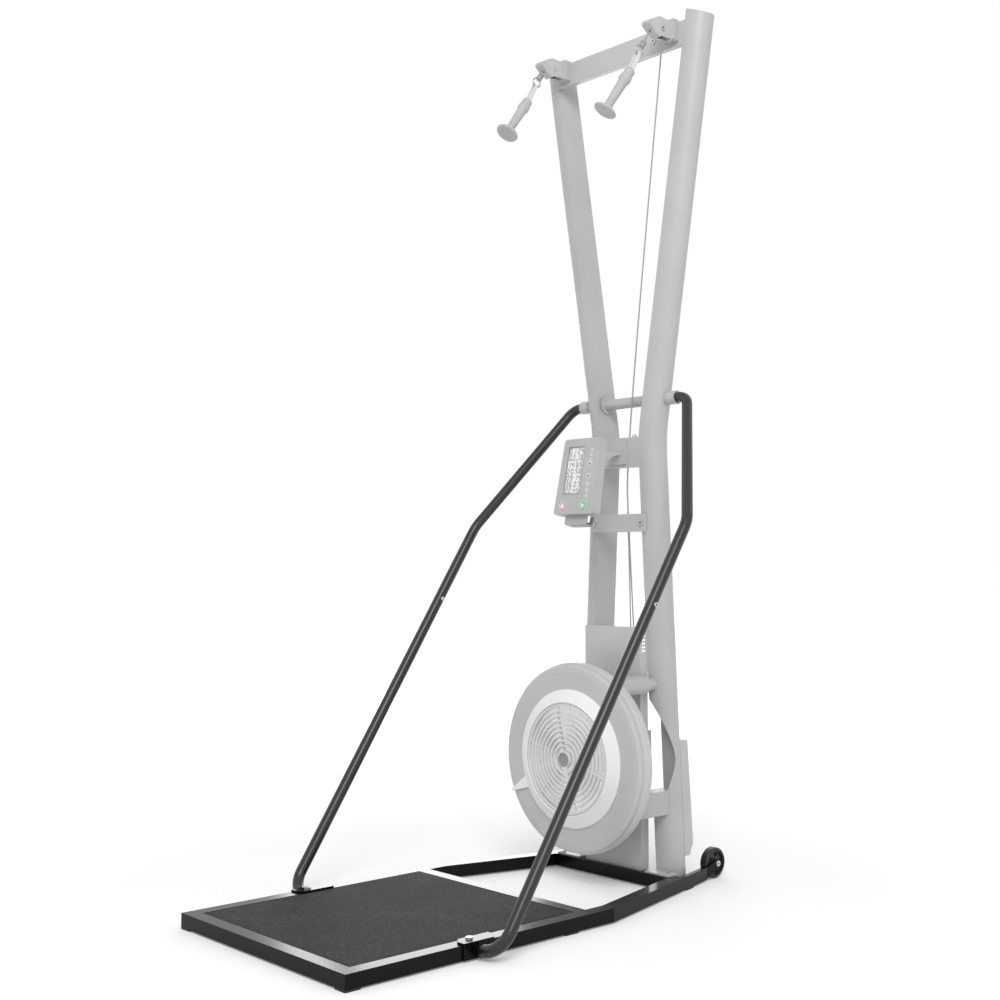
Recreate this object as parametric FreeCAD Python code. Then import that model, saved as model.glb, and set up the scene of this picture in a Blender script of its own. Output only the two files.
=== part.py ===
import FreeCAD, Part
import math
import os

# Ski trainer machine: a tower with an air fan, console and two pull handles, on a floor stand.
# Millimetres, +Z up, user side at -Y. While modelling, Y counts from the front edge of the platform;
# every piece is moved back by HALF_LENGTH at the end, so the origin is under the middle of the machine.
V = FreeCAD.Vector

# Floor stand
PLATFORM_WIDTH = 600.0
PLATFORM_LENGTH = 664.0
FOOT_HEIGHT = 4.0
TUBE_HEIGHT = 30.0
TUBE_WIDTH = 33.0
TUBE_WALL = 2.0
SIDE_BEND_Y = 720.0
SIDE_BEND_ANGLE = math.radians(14.3)
REAR_TUBE_Y = 1024.0
BOARD_THICKNESS = 14.0
MAT_THICKNESS = 4.0
MAT_RECESS = 0.6
DECK_GAP = 0.3
WEEP_HOLE_RADIUS = 3.0
FOOT_LENGTH = 36.0
TAIL_THICKNESS = 12.0
AXLE_STRIP_THICKNESS = 5.0
AXLE_STRIP_FACE_X = 177.0
AXLE_EYE_RADIUS = 9.0
WHEEL_RADIUS = 37.5
WHEEL_WIDTH = 22.0
WHEEL_CLEAR_OF_FLOOR = 1.0
WHEEL_BEHIND_COLUMN = 45.5
AXLE_STRIP_REACH = 40.0
WHEEL_SIDE_GAP = 0.5
WHEEL_BORE_RADIUS = 4.05
AXLE_RADIUS = 4.0
BASE_PLATE_THICKNESS = 8.0
BASE_PLATE_REAR_Y = 1150.0

# Handrails
RAIL_RADIUS = 13.0
RAIL_WALL = 2.0
RAIL_SPREAD = 364.5
RAIL_FOOT_Y = 325.0
RAIL_KINK_Y = 898.0
RAIL_KINK_Z = 883.5
RAIL_TOP_X = 194.0
RAIL_TOP_Z = 1200.0
RAIL_END_X = 163.0
RAIL_SEAM_Z = 719.0
RAIL_FOOT_BEND = 50.0
RAIL_KINK_BEND = 90.0
RAIL_TOP_BEND = 42.0
SPIGOT_LENGTH = 60.0
SPIGOT_GAP = 0.15
RAIL_BRACKET_THICKNESS = 4.0
RAIL_BRACKET_FRONT_Y = 284.0
RAIL_BRACKET_REAR_Y = 378.0
RAIL_SIDE_PLATE_REAR_Y = 352.0
RAIL_SOCKET_LENGTH = 9.0

# Tower columns
COLUMN_Y = 1104.0
COLUMN_DEPTH = 76.0
COLUMN_WIDTH = 52.0
COLUMN_WALL = 3.0
COLUMN_TOP_Z = 2154.0
COLUMN_KINK_Z = 1104.5
COLUMN_FOOT_X = 120.0
COLUMN_KINK_X = 65.0
COLUMN_TOP_X = 231.0
COLUMN_KINK_BLEND = 45.0
COLUMN_CAP = 3.0
COLUMN_TOP_SLOPE = 0.35
NOTCH_RADIUS = 227.0
NOTCH_OFFSET_X = -71.0
NOTCH_Z = 298.0
NOTCH_DEPTH = 40.0

# Plates and tubes between the columns
SHEET = 4.0
BEAM_BELOW_COLUMN_TOP = 26.0
BEAM_HEIGHT = 59.0
BEAM_FLANGE = 16.0
CONSOLE_PLATE_BOTTOM_Z = 1030.0
CONSOLE_PLATE_TOP_Z = 1106.0
CONSOLE_PLATE_FLANGE = 20.0
CROSSBAR_HALF_WIDTH = 92.0
CROSSBAR_BOTTOM_Z = 866.0
CROSSBAR_TOP_Z = 911.0
CROSSBAR_THICKNESS = 8.0
CROSSBAR_BOLT_X = 82.0
HANDRAIL_TUBE_RADIUS = 14.0
COLLAR_RADIUS = 17.0
COLLAR_FLANGE_RADIUS = 24.0
COLLAR_FLANGE_THICKNESS = 3.0

# Fan
FAN_Z = 311.0
FAN_FACE_Y = 886.0
FAN_FACE_RADIUS = 209.0
FAN_LIP_RADIUS = 227.4
FAN_LIP_Y = 891.4
FAN_GROOVE_RADIUS = 223.5
FAN_RADIUS = 232.0
FAN_EDGE_Y = 907.0
FAN_SPLIT_Y = 922.0
FAN_BACK_RADIUS = 186.0
FAN_BACK_Y = 976.0
SHELL_WALL = 3.0
GRILLE_RADIUS = 133.0
GRILLE_RIM_Y = 871.0
GRILLE_DOME = 7.0
GRILLE_RINGS = 9
GRILLE_SPOKES = 6
GRILLE_BAR = 4.6
GRILLE_HUB_RADIUS = 19.0
GRILLE_DEPTH = 5.0
COLLAR_WALL = 2.4
FIT_GAP = 0.3
DAMPER_RADIUS = 168.0
DAMPER_RISE = 12.0
DAMPER_THICKNESS = 3.4
LEVER_RADIUS = 224.0
LEVER_ANGLE = math.radians(206.0)
LEVER_WIDTH = 30.0
SHAFT_RADIUS = 8.5
SHAFT_FRONT_Y = 896.0
SHAFT_REAR_Y = 1130.0
RUNNING_GAP = 0.05
BEARING_RADIUS = 20.0
BEARING_WIDTH = 12.0
FRONT_BEARING_Y = 980.0
REAR_BEARING_Y = 1044.0
ROTOR_RADIUS = 190.0
ROTOR_INNER_RADIUS = 88.0
ROTOR_FRONT_Y = 904.0
ROTOR_BACK_Y = 940.0
ROTOR_DISC = 4.0
ROTOR_VANES = 20
VANE_THICKNESS = 2.6
ROTOR_HUB_RADIUS = 26.0
ROTOR_HUB_BACK_Y = 962.0

# Covers behind the fan
COVER_HALF_WIDTH = 94.0
COVER_FRONT_Y = 1038.0
COVER_TOP_Z = 628.0
COVER_WALL = 2.5
COVER_VENTS = 5
COVER_VENT_HEIGHT = 4.0
COVER_VENT_PITCH = 9.0
DRIVE_BOX_HALF_WIDTH = 46.0
DRIVE_BOX_REAR_Y = 1133.0
DRIVE_BOX_EAR = 40.0
DRIVE_BOX_BOTTOM_Z = 258.0
DRIVE_BOX_TOP_Z = 364.0
STRUT_RADIUS = 23.0
STRUT_SHOULDER = 7.0
STRUT_X = 106.0
STRUT_Z = 488.0
STRUT_END_Y = 1037.5
ARM_BOTTOM_Z = 173.0
ARM_TOP_Z = 231.0
ARM_OUTER_X = 150.0
ARM_WIDTH = 38.0
STIFFENER_TOP_Z = 348.0
STIFFENER_BEND_Z = 97.0
STIFFENER_BOTTOM_Z = 68.0
STIFFENER_DEPTH = 14.0
STIFFENER_INSET = 4.0
STIFFENER_WIDTH = 41.0

# Cord drive
CORD_RADIUS = 1.75
PULL_ANGLE = math.radians(34.0)
CORD_EXIT_BEHIND_TIP = 15.0
CORD_EXIT_ABOVE_BASE = 5.0
PULLEY_X = 188.0
CHEEK_HALF_GAP = 7.5
CHEEK_THICKNESS = 5.0
HOUSING_ABOVE_CORD = 7.0
HOUSING_HEIGHT = 48.0
NOSE_REACH = 81.0
BLOCK_DEPTH = 22.0
BLOCK_HALF_WIDTH = 20.0
BLOCK_ABOVE_HOUSING = 4.0
BLOCK_RIBS = 3
BLOCK_RIB_PITCH = 6.0
TOP_PULLEY_GROOVE = 18.0
PULLEY_FLANGE = 4.0
PULLEY_RIM = 1.0
GROOVE_FLOOR_INSET = 0.3
PULLEY_WIDTH = 9.0
TURN_CORD_BELOW_BEAM_TOP = 8.0
TURN_CORD_X = 142.0
TURN_CORD_STEP = -3.8
TURN_PULLEY_GROOVE = 16.0
TURN_PULLEY_WIDTH = 7.0
TURN_PULLEY_STEP = 4.2
GUIDE_TOP_X = 12.0
GUIDE_TOP_Z = 1050.0
GUIDE_LOW_X = 18.0
GUIDE_LOW_Z = 888.0
GUIDE_HALF_STEP = 2.6
GUIDE_BEHIND_WEB = 11.0
GUIDE_BLOCK_HALF = 10.0
GUIDE_SLOT_HALF = 7.0
SPOOL_GROOVE = 20.0
SPOOL_FLANGE = 30.0
SPOOL_WIDTH = 11.0
LEFT_SPOOL_Y = 1092.0
RIGHT_SPOOL_Y = 1116.0
FREE_CORD_LEFT = 38.0
FREE_CORD_RIGHT = 66.0

# Handles
GRIP_LENGTH = 128.0
GRIP_RADIUS = 13.0
GRIP_NECK_RADIUS = 10.5
GRIP_COLLAR_RADIUS = 15.0
LEFT_GRIP_LEAN = V(-0.02, -0.58, -0.81)
RIGHT_GRIP_LEAN = V(-0.26, -0.46, -0.85)
STRAP_ANGLE = math.radians(29.0)
STRAP_SINK = 4.0
DISC_RADIUS = 29.5
DISC_THICKNESS = 8.0
STRAP_LENGTH = 63.0
STRAP_WIDTH = 10.0
STRAP_THICKNESS = 2.2
STRAP_HALF_GAP = 5.0
RING_RADIUS = 12.0
RING_WIRE = 2.0
SWIVEL_RADIUS = 8.0
SWIVEL_LENGTH = 17.0

# Console
CONSOLE_TOP_WIDTH = 121.0
CONSOLE_BOTTOM_WIDTH = 135.0
CONSOLE_HEIGHT = 193.0
CONSOLE_DEPTH = 27.0
CONSOLE_TILT = 11.0
CONSOLE_Y = 915.5
CONSOLE_Z = 1003.0
BEZEL_THICKNESS = 3.0
CONSOLE_WALL = 2.5
LENS_LEFT = -43.0
LENS_RIGHT = 13.0
LENS_TOP = 76.0
LENS_BOTTOM = -46.0
LENS_THICKNESS = 1.8
LENS_LEDGE = 3.0
START_X = 31.0
STOP_X = -38.0
MAIN_BUTTON_Z = -76.0
MAIN_BUTTON_RADIUS = 11.5
KEY_X = 38.0
KEY_UP_Z = 30.0
KEY_DOWN_Z = -2.0
KEY_RADIUS = 6.5
BUTTON_GAP = 0.4
BUTTON_PROUD = 2.0
BUTTON_FLANGE = 1.5
HINGE_BACK = 14.0
HINGE_RADIUS = 8.0
HINGE_HALF_WIDTH = 12.0
HINGE_EAR = 6.0
HINGE_PIN_RADIUS = 4.0
ARM_BAR_WIDTH = 18.0
ARM_BAR_THICKNESS = 10.0
HOLDER_HALF_WIDTH = 38.0
HOLDER_HEIGHT = 25.0
HOLDER_DEPTH = 26.0
HOLDER_SETBACK = 14.0
HOLDER_WALL = 3.0
HOLDER_CORNER = 8.0
HOLDER_CUT_SIDE = 12.0
HOLDER_CUT_DEPTH = 14.0

# Fasteners
BOLT_RADIUS = 4.0
BOLT_HEAD_RADIUS = 7.5
BOLT_HEAD_HEIGHT = 4.5
BOLT_CLEARANCE = 0.3

# Worked out from the above
STAND_TOP = FOOT_HEIGHT + TUBE_HEIGHT
HALF_WIDTH = PLATFORM_WIDTH / 2
REAR_TUBE_BACK_Y = REAR_TUBE_Y + TUBE_WIDTH
WHEEL_Y = COLUMN_Y + COLUMN_DEPTH / 2 + WHEEL_BEHIND_COLUMN + WHEEL_RADIUS
TAIL_END_Y = WHEEL_Y - AXLE_STRIP_REACH
TOTAL_LENGTH = WHEEL_Y + WHEEL_RADIUS
HALF_LENGTH = TOTAL_LENGTH / 2
WHEEL_Z = WHEEL_RADIUS + WHEEL_CLEAR_OF_FLOOR
COLUMN_FRONT_Y = COLUMN_Y - COLUMN_DEPTH / 2
COLUMN_BACK_Y = COLUMN_Y + COLUMN_DEPTH / 2
COLUMN_FOOT_Z = FOOT_HEIGHT + BASE_PLATE_THICKNESS
WEB_Y = COLUMN_FRONT_Y + SHEET
GUIDE_Y = WEB_Y + GUIDE_BEHIND_WEB
BEAM_TOP_Z = COLUMN_TOP_Z - BEAM_BELOW_COLUMN_TOP
BEAM_BOTTOM_Z = BEAM_TOP_Z - BEAM_HEIGHT
TURN_CORD_Z = BEAM_TOP_Z - TURN_CORD_BELOW_BEAM_TOP
HOUSING_TOP_Z = TURN_CORD_Z + HOUSING_ABOVE_CORD
HOUSING_BOTTOM_Z = HOUSING_TOP_Z - HOUSING_HEIGHT
BLOCK_TOP_Z = HOUSING_TOP_Z + BLOCK_ABOVE_HOUSING
BLOCK_FRONT_Y = COLUMN_FRONT_Y - BLOCK_DEPTH
NOSE_TIP_Y = BLOCK_FRONT_Y - NOSE_REACH
CORD_EXIT_Y = NOSE_TIP_Y + CORD_EXIT_BEHIND_TIP
CORD_EXIT_Z = HOUSING_BOTTOM_Z + CORD_EXIT_ABOVE_BASE
PULL = V(0, -math.sin(PULL_ANGLE), -math.cos(PULL_ANGLE))


def box(x0, x1, y0, y1, z0, z1):
    return Part.makeBox(x1 - x0, y1 - y0, z1 - z0, V(x0, y0, z0))


def rod_x(radius, x0, x1, y, z):
    return Part.makeCylinder(radius, x1 - x0, V(x0, y, z), V(1, 0, 0))


def rod_y(radius, y0, y1, x, z):
    return Part.makeCylinder(radius, y1 - y0, V(x, y0, z), V(0, 1, 0))


def rod_z(radius, z0, z1, x, y):
    return Part.makeCylinder(radius, z1 - z0, V(x, y, z0), V(0, 0, 1))


def prism_xy(points, z0, z1):
    corners = [V(x, y, z0) for x, y in points]
    return Part.Face(Part.makePolygon(corners + corners[:1])).extrude(V(0, 0, z1 - z0))


def prism_yz(points, x0, x1):
    corners = [V(x0, y, z) for y, z in points]
    return Part.Face(Part.makePolygon(corners + corners[:1])).extrude(V(x1 - x0, 0, 0))


def prism_xz(points, y0, y1):
    corners = [V(x, y0, z) for x, z in points]
    return Part.Face(Part.makePolygon(corners + corners[:1])).extrude(V(0, y1 - y0, 0))


def turned_y(points, z):
    """A solid turned about the Y axis at height z, from (radius, y) points."""
    corners = [V(r, y, z) for r, y in points]
    face = Part.Face(Part.makePolygon(corners + corners[:1]))
    return face.revolve(V(0, 0, z), V(0, 1, 0), 360)


def turned_z(points):
    """A solid turned about the Z axis, from (radius, z) points."""
    corners = [V(r, 0, z) for r, z in points]
    face = Part.Face(Part.makePolygon(corners + corners[:1]))
    return face.revolve(V(0, 0, 0), V(0, 0, 1), 360)


def both_sides(shape):
    return Part.makeCompound([shape, mirrored(shape)])


def mirrored(shape):
    return shape.mirror(V(0, 0, 0), V(1, 0, 0))


def joined(shapes):
    return shapes[0].multiFuse(shapes[1:]).removeSplitter()


def rounded_route(points, radii):
    """Straight runs through the points, joined by arcs; gives the wire and the arc centres."""
    edges = []
    centres = []
    start = points[0]
    for before, corner, after, radius in zip(points, points[1:], points[2:], radii):
        back = (before - corner).normalize()
        ahead = (after - corner).normalize()
        half = back.getAngle(ahead) / 2
        reach = radius / math.tan(half)
        middle = (back + ahead).normalize()
        centre = corner + middle * (radius / math.sin(half))
        arc_start = corner + back * reach
        arc_end = corner + ahead * reach
        edges.append(Part.LineSegment(start, arc_start).toShape())
        edges.append(Part.Arc(arc_start, centre - middle * radius, arc_end).toShape())
        centres.append(centre)
        start = arc_end
    edges.append(Part.LineSegment(start, points[-1]).toShape())
    return Part.Wire(edges), centres


def rod_along(points, radii, radius):
    wire, centres = rounded_route(points, radii)
    ring = Part.Wire(Part.makeCircle(radius, points[0], points[1] - points[0]))
    return wire.makePipeShell([ring], True, False)


# Floor stand frame: steel tubes welded into a long platform whose sides run in towards the back.
def side_edge_x(inset, y):
    """X of a line that runs inset inside the outer edge of the right side rail, at a given Y."""
    if y <= SIDE_BEND_Y:
        return HALF_WIDTH - inset
    slope = math.tan(SIDE_BEND_ANGLE)
    return HALF_WIDTH - inset / math.cos(SIDE_BEND_ANGLE) - (y - SIDE_BEND_Y) * slope


def side_line(inset, y0, y1):
    bend_y = SIDE_BEND_Y - inset * math.tan(SIDE_BEND_ANGLE / 2)
    return [(HALF_WIDTH - inset, y0), (HALF_WIDTH - inset, bend_y), (side_edge_x(inset, y1), y1)]


def slanted_slab(inset0, inset1, y0, y1, z0, z1):
    outer = [(side_edge_x(inset0, y0), y0), (side_edge_x(inset0, y1), y1)]
    inner = [(side_edge_x(inset1, y1), y1), (side_edge_x(inset1, y0), y0)]
    return prism_xy(outer + inner, z0, z1)


def bolt_down_hole(x, y, z0, z1):
    return rod_z(BOLT_RADIUS + BOLT_CLEARANCE, z0, z1, x, y)


RAIL_BOLT_X = HALF_WIDTH - TUBE_WIDTH / 2
RAIL_BOLT_Y = RAIL_FOOT_Y - 10


def side_rail():
    start = TUBE_WIDTH
    end = REAR_TUBE_BACK_Y
    outer = side_line(0, start, end) + side_line(TUBE_WIDTH, start, end)[::-1]
    hollow_end = end - TUBE_WALL
    left = side_line(TUBE_WALL, start - 1, hollow_end)
    right = side_line(TUBE_WIDTH - TUBE_WALL, start - 1, hollow_end)
    rail = prism_xy(outer, FOOT_HEIGHT, STAND_TOP)
    rail = rail.cut(prism_xy(left + right[::-1], FOOT_HEIGHT + TUBE_WALL, STAND_TOP - TUBE_WALL))
    return rail.cut(bolt_down_hole(RAIL_BOLT_X, RAIL_BOLT_Y, STAND_TOP - TUBE_HEIGHT / 2, STAND_TOP + 1))


def cross_tube(half_front, half_back, y, closed):
    end = TUBE_WALL if closed else -1
    outline = [(-half_front, y), (half_front, y), (half_back, y + TUBE_WIDTH), (-half_back, y + TUBE_WIDTH)]
    inner_y0 = y + TUBE_WALL
    inner_y1 = y + TUBE_WIDTH - TUBE_WALL
    inner = [(-half_front + end, inner_y0), (half_front - end, inner_y0)]
    inner += [(half_back - end, inner_y1), (-half_back + end, inner_y1)]
    tube = prism_xy(outline, FOOT_HEIGHT, STAND_TOP)
    tube = tube.cut(prism_xy(inner, FOOT_HEIGHT + TUBE_WALL, STAND_TOP - TUBE_WALL))
    return tube.cut(rod_z(WEEP_HOLE_RADIUS, 0, FOOT_HEIGHT + 2 * TUBE_WALL, 0, y + TUBE_WIDTH / 2))


CLAMP_X = 150.0
CLAMP_HALF_WIDTH = 38.0
CLAMP_BOLT_X = 178.0
CLAMP_BOLT_Y = REAR_TUBE_Y + TUBE_WIDTH / 2


def rear_cross_tube():
    front = side_edge_x(TUBE_WIDTH, REAR_TUBE_Y)
    back = side_edge_x(TUBE_WIDTH, REAR_TUBE_BACK_Y)
    tube = cross_tube(front, back, REAR_TUBE_Y, False)
    hole = bolt_down_hole(CLAMP_BOLT_X, CLAMP_BOLT_Y, STAND_TOP - TUBE_HEIGHT / 2, STAND_TOP + 1)
    return tube.cut(hole).cut(mirrored(hole))


def middle_tube():
    inner_half = HALF_WIDTH - TUBE_WIDTH
    return cross_tube(inner_half, inner_half, PLATFORM_LENGTH - TUBE_WIDTH, False)


# Tail plates: flat bars welded to the ends of the side rails, each with a thin strip for the wheel axle.
def tail_plate():
    bar = slanted_slab(0, TAIL_THICKNESS, REAR_TUBE_BACK_Y, TAIL_END_Y, FOOT_HEIGHT, STAND_TOP)
    strip_x = AXLE_STRIP_FACE_X
    root_y = TAIL_END_Y - 2 * AXLE_EYE_RADIUS
    rise = WHEEL_Z - (FOOT_HEIGHT + TUBE_HEIGHT / 2)
    run = WHEEL_Y - TAIL_END_Y
    lean = math.atan2(rise, run)
    across = V(0, -math.sin(lean), math.cos(lean)) * AXLE_EYE_RADIUS
    low = (WHEEL_Y - across.y, WHEEL_Z - across.z)
    high = (WHEEL_Y + across.y, WHEEL_Z + across.z)
    outline = [(root_y, FOOT_HEIGHT + 2), (TAIL_END_Y, FOOT_HEIGHT + 2), low, high]
    outline += [(TAIL_END_Y, STAND_TOP), (root_y, STAND_TOP)]
    strip = prism_yz(outline, strip_x, strip_x + AXLE_STRIP_THICKNESS)
    eye = rod_x(AXLE_EYE_RADIUS, strip_x, strip_x + AXLE_STRIP_THICKNESS, WHEEL_Y, WHEEL_Z)
    strip_end = strip_x + AXLE_STRIP_THICKNESS
    hole = rod_x(AXLE_RADIUS + BOLT_CLEARANCE, strip_x - 1, strip_end + 1, WHEEL_Y, WHEEL_Z)
    return joined([bar, strip, eye]).cut(hole)


def foot_pads():
    pads = []
    inset = TUBE_WIDTH / 2
    for y in (FOOT_LENGTH / 2, PLATFORM_LENGTH - 2.2 * TUBE_WIDTH):
        pads.append(box(HALF_WIDTH - TUBE_WIDTH, HALF_WIDTH, y - FOOT_LENGTH / 2, y + FOOT_LENGTH / 2,
                        0, FOOT_HEIGHT))
    rear_y = REAR_TUBE_BACK_Y + inset
    pads.append(slanted_slab(0, TAIL_THICKNESS, rear_y, rear_y + FOOT_LENGTH, 0, FOOT_HEIGHT))
    return Part.makeCompound([both_sides(pad) for pad in pads])


def deck_board():
    top = STAND_TOP - MAT_RECESS - MAT_THICKNESS
    half = HALF_WIDTH - TUBE_WIDTH - DECK_GAP
    front = TUBE_WIDTH + DECK_GAP
    back = PLATFORM_LENGTH - TUBE_WIDTH - DECK_GAP
    return box(-half, half, front, back, top - BOARD_THICKNESS, top)


def rubber_mat():
    board = deck_board().BoundBox
    return box(board.XMin, board.XMax, board.YMin, board.YMax, board.ZMax, board.ZMax + MAT_THICKNESS)


def base_plate():
    front = REAR_TUBE_BACK_Y
    half_front = side_edge_x(TAIL_THICKNESS, front)
    half_back = side_edge_x(TAIL_THICKNESS, BASE_PLATE_REAR_Y)
    outline = [(-half_front, front), (half_front, front)]
    outline += [(half_back, BASE_PLATE_REAR_Y), (-half_back, BASE_PLATE_REAR_Y)]
    return prism_xy(outline, FOOT_HEIGHT, COLUMN_FOOT_Z)


# Transport wheels: moulded, with a hub, a web with round holes and a rounded tread.
def wheel():
    outer = AXLE_STRIP_FACE_X - WHEEL_SIDE_GAP
    inner = outer - WHEEL_WIDTH
    edge = 3.0
    tread = rod_x(WHEEL_RADIUS, inner, outer, WHEEL_Y, WHEEL_Z)
    tread = tread.makeChamfer(edge, [e for e in tread.Edges if len(e.Vertexes) == 1])
    dish_radius = WHEEL_RADIUS - 8
    hub_radius = 11.0
    dish = rod_x(dish_radius, outer - 7, outer + 1, WHEEL_Y, WHEEL_Z)
    dish = dish.cut(rod_x(hub_radius, outer - 8, outer + 2, WHEEL_Y, WHEEL_Z))
    body = tread.cut(dish)
    body = body.cut(rod_x(WHEEL_BORE_RADIUS, inner - 1, outer + 1, WHEEL_Y, WHEEL_Z))
    holes = 5
    for k in range(holes):
        angle = 2 * math.pi * k / holes
        reach = (dish_radius + hub_radius) / 2
        body = body.cut(rod_x(6.0, inner - 1, outer + 1, WHEEL_Y + reach * math.cos(angle),
                              WHEEL_Z + reach * math.sin(angle)))
    return body


# Handrails: bent steel tube in two halves, plugged together at a bolted seam.
def handrail_points():
    run = V(0, RAIL_KINK_Y - RAIL_FOOT_Y, RAIL_KINK_Z - RAIL_AXIS_Z)
    seam = V(RAIL_SPREAD, RAIL_FOOT_Y, RAIL_AXIS_Z) + run * ((RAIL_SEAM_Z - RAIL_AXIS_Z) / run.z)
    foot = V(HALF_WIDTH + RAIL_BRACKET_THICKNESS + RAIL_SOCKET_LENGTH, RAIL_FOOT_Y, RAIL_AXIS_Z)
    corner = V(RAIL_SPREAD, RAIL_FOOT_Y, RAIL_AXIS_Z)
    kink = V(RAIL_SPREAD, RAIL_KINK_Y, RAIL_KINK_Z)
    top = V(RAIL_TOP_X, COLUMN_Y, RAIL_TOP_Z)
    end = V(RAIL_END_X, COLUMN_Y, RAIL_TOP_Z)
    return foot, corner, seam, kink, top, end


RAIL_AXIS_Z = FOOT_HEIGHT + TUBE_HEIGHT / 2
SEAM_BOLT_BELOW = 28.0


def seam_bolt_point():
    foot, corner, seam, kink, top, end = handrail_points()
    return seam + (corner - kink).normalize() * SEAM_BOLT_BELOW


def seam_bolt_hole():
    centre = seam_bolt_point()
    reach = RAIL_RADIUS + BOLT_HEAD_HEIGHT
    return rod_x(BOLT_RADIUS - 1 + BOLT_CLEARANCE, centre.x - reach, centre.x + reach, centre.y, centre.z)


def handrail_lower():
    foot, corner, seam, kink, top, end = handrail_points()
    outer = rod_along([foot, corner, seam], [RAIL_FOOT_BEND], RAIL_RADIUS)
    inner = rod_along([foot, corner, seam], [RAIL_FOOT_BEND], RAIL_RADIUS - RAIL_WALL)
    return outer.cut(inner).cut(seam_bolt_hole())


def handrail_upper():
    foot, corner, seam, kink, top, end = handrail_points()
    route = [seam, kink, top, end]
    bends = [RAIL_KINK_BEND, RAIL_TOP_BEND]
    outer = rod_along(route, bends, RAIL_RADIUS)
    along = (corner - kink).normalize()
    spigot_radius = RAIL_RADIUS - RAIL_WALL - SPIGOT_GAP
    spigot = Part.makeCylinder(spigot_radius, SPIGOT_LENGTH, seam, along)
    shape = outer.fuse(spigot)
    bore = rod_along(route, bends, RAIL_RADIUS - 2 * RAIL_WALL)
    bore_low = Part.makeCylinder(RAIL_RADIUS - 2 * RAIL_WALL, SPIGOT_LENGTH + 1, seam, along)
    return shape.cut(bore).cut(bore_low).cut(seam_bolt_hole())


# Handrail brackets: a bent plate bolted on the side rail, with a socket that holds the tube's foot.
def handrail_bracket():
    outer_x = HALF_WIDTH + RAIL_BRACKET_THICKNESS
    top_z = STAND_TOP + RAIL_BRACKET_THICKNESS
    inner_x = HALF_WIDTH - TUBE_WIDTH + 2
    corner = 14.0
    outline = [(inner_x, RAIL_BRACKET_FRONT_Y + corner), (inner_x + corner, RAIL_BRACKET_FRONT_Y)]
    outline += [(outer_x, RAIL_BRACKET_FRONT_Y), (outer_x, RAIL_BRACKET_REAR_Y - corner)]
    outline += [(HALF_WIDTH - corner, RAIL_BRACKET_REAR_Y), (inner_x, RAIL_BRACKET_REAR_Y)]
    top = prism_xy(outline, STAND_TOP, top_z)
    side = box(HALF_WIDTH, outer_x, RAIL_BRACKET_FRONT_Y, RAIL_SIDE_PLATE_REAR_Y, FOOT_HEIGHT, top_z)
    socket_end = outer_x + RAIL_SOCKET_LENGTH
    socket = rod_x(RAIL_RADIUS + 1.5, HALF_WIDTH, socket_end, RAIL_FOOT_Y, RAIL_AXIS_Z)
    plug_radius = RAIL_RADIUS - RAIL_WALL - SPIGOT_GAP
    plug = rod_x(plug_radius, socket_end, socket_end + 2, RAIL_FOOT_Y, RAIL_AXIS_Z)
    shape = joined([top, side, socket, plug])
    return shape.cut(bolt_down_hole(RAIL_BOLT_X, RAIL_BOLT_Y, STAND_TOP - 1, top_z + 1))


# Tower clamps: pale steel tabs that hold the column feet to the rear cross tube.
def tower_clamp():
    top_z = STAND_TOP + SHEET
    tab = box(CLAMP_X - CLAMP_HALF_WIDTH, CLAMP_X + CLAMP_HALF_WIDTH, REAR_TUBE_Y + 6, COLUMN_FRONT_Y,
              STAND_TOP, top_z)
    tab = tab.cut(box(0, COVER_HALF_WIDTH + 2, 0, 2000, 0, 100))
    return tab.cut(bolt_down_hole(CLAMP_BOLT_X, CLAMP_BOLT_Y, STAND_TOP - 1, top_z + 1))


# Columns: D-section tube, flat side inwards, leaning in to a bend and then out to the top.
def column_x(z):
    """X of the flat inner face of the right column at height z, rounded at the bend."""
    low_slope = (COLUMN_KINK_X - COLUMN_FOOT_X) / (COLUMN_KINK_Z - COLUMN_FOOT_Z)
    high_slope = (COLUMN_TOP_X - COLUMN_KINK_X) / (COLUMN_TOP_Z - COLUMN_KINK_Z)
    above = z - COLUMN_KINK_Z
    if above <= -COLUMN_KINK_BLEND:
        return COLUMN_KINK_X + low_slope * above
    if above >= COLUMN_KINK_BLEND:
        return COLUMN_KINK_X + high_slope * above
    share = (above + COLUMN_KINK_BLEND) ** 2 / (4 * COLUMN_KINK_BLEND)
    return COLUMN_KINK_X + low_slope * above + (high_slope - low_slope) * share


def column_section(z, inset):
    x = column_x(z)
    reach = COLUMN_WIDTH - inset
    half = COLUMN_DEPTH / 2 - inset
    edge = math.acos(inset / reach)
    ellipse = Part.Ellipse(V(x, COLUMN_Y, z), reach, half)
    curve = Part.ArcOfEllipse(ellipse, -edge, edge).toShape()
    ends = curve.Vertexes
    flat = Part.LineSegment(ends[1].Point, ends[0].Point).toShape()
    return Part.Wire([curve, flat])


def column_levels(z0, z1):
    steps = [-1.0, -0.5, 0.0, 0.5, 1.0]
    bend = [COLUMN_KINK_Z + COLUMN_KINK_BLEND * step for step in steps]
    return [z0] + bend + [z1]


def column_body(z0, z1, inset):
    sections = [column_section(z, inset) for z in column_levels(z0, z1)]
    return Part.makeLoft(sections, True, True)


def notch(wall):
    depth = NOTCH_DEPTH + wall
    return rod_y(NOTCH_RADIUS + wall, COLUMN_FRONT_Y - 10, COLUMN_FRONT_Y + depth, NOTCH_OFFSET_X, NOTCH_Z)


def crossbar_bolt_hole():
    return rod_y(BOLT_RADIUS + BOLT_CLEARANCE, COLUMN_FRONT_Y - 20, COLUMN_FRONT_Y + 14, CROSSBAR_BOLT_X,
                 (CROSSBAR_BOTTOM_Z + CROSSBAR_TOP_Z) / 2)


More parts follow.
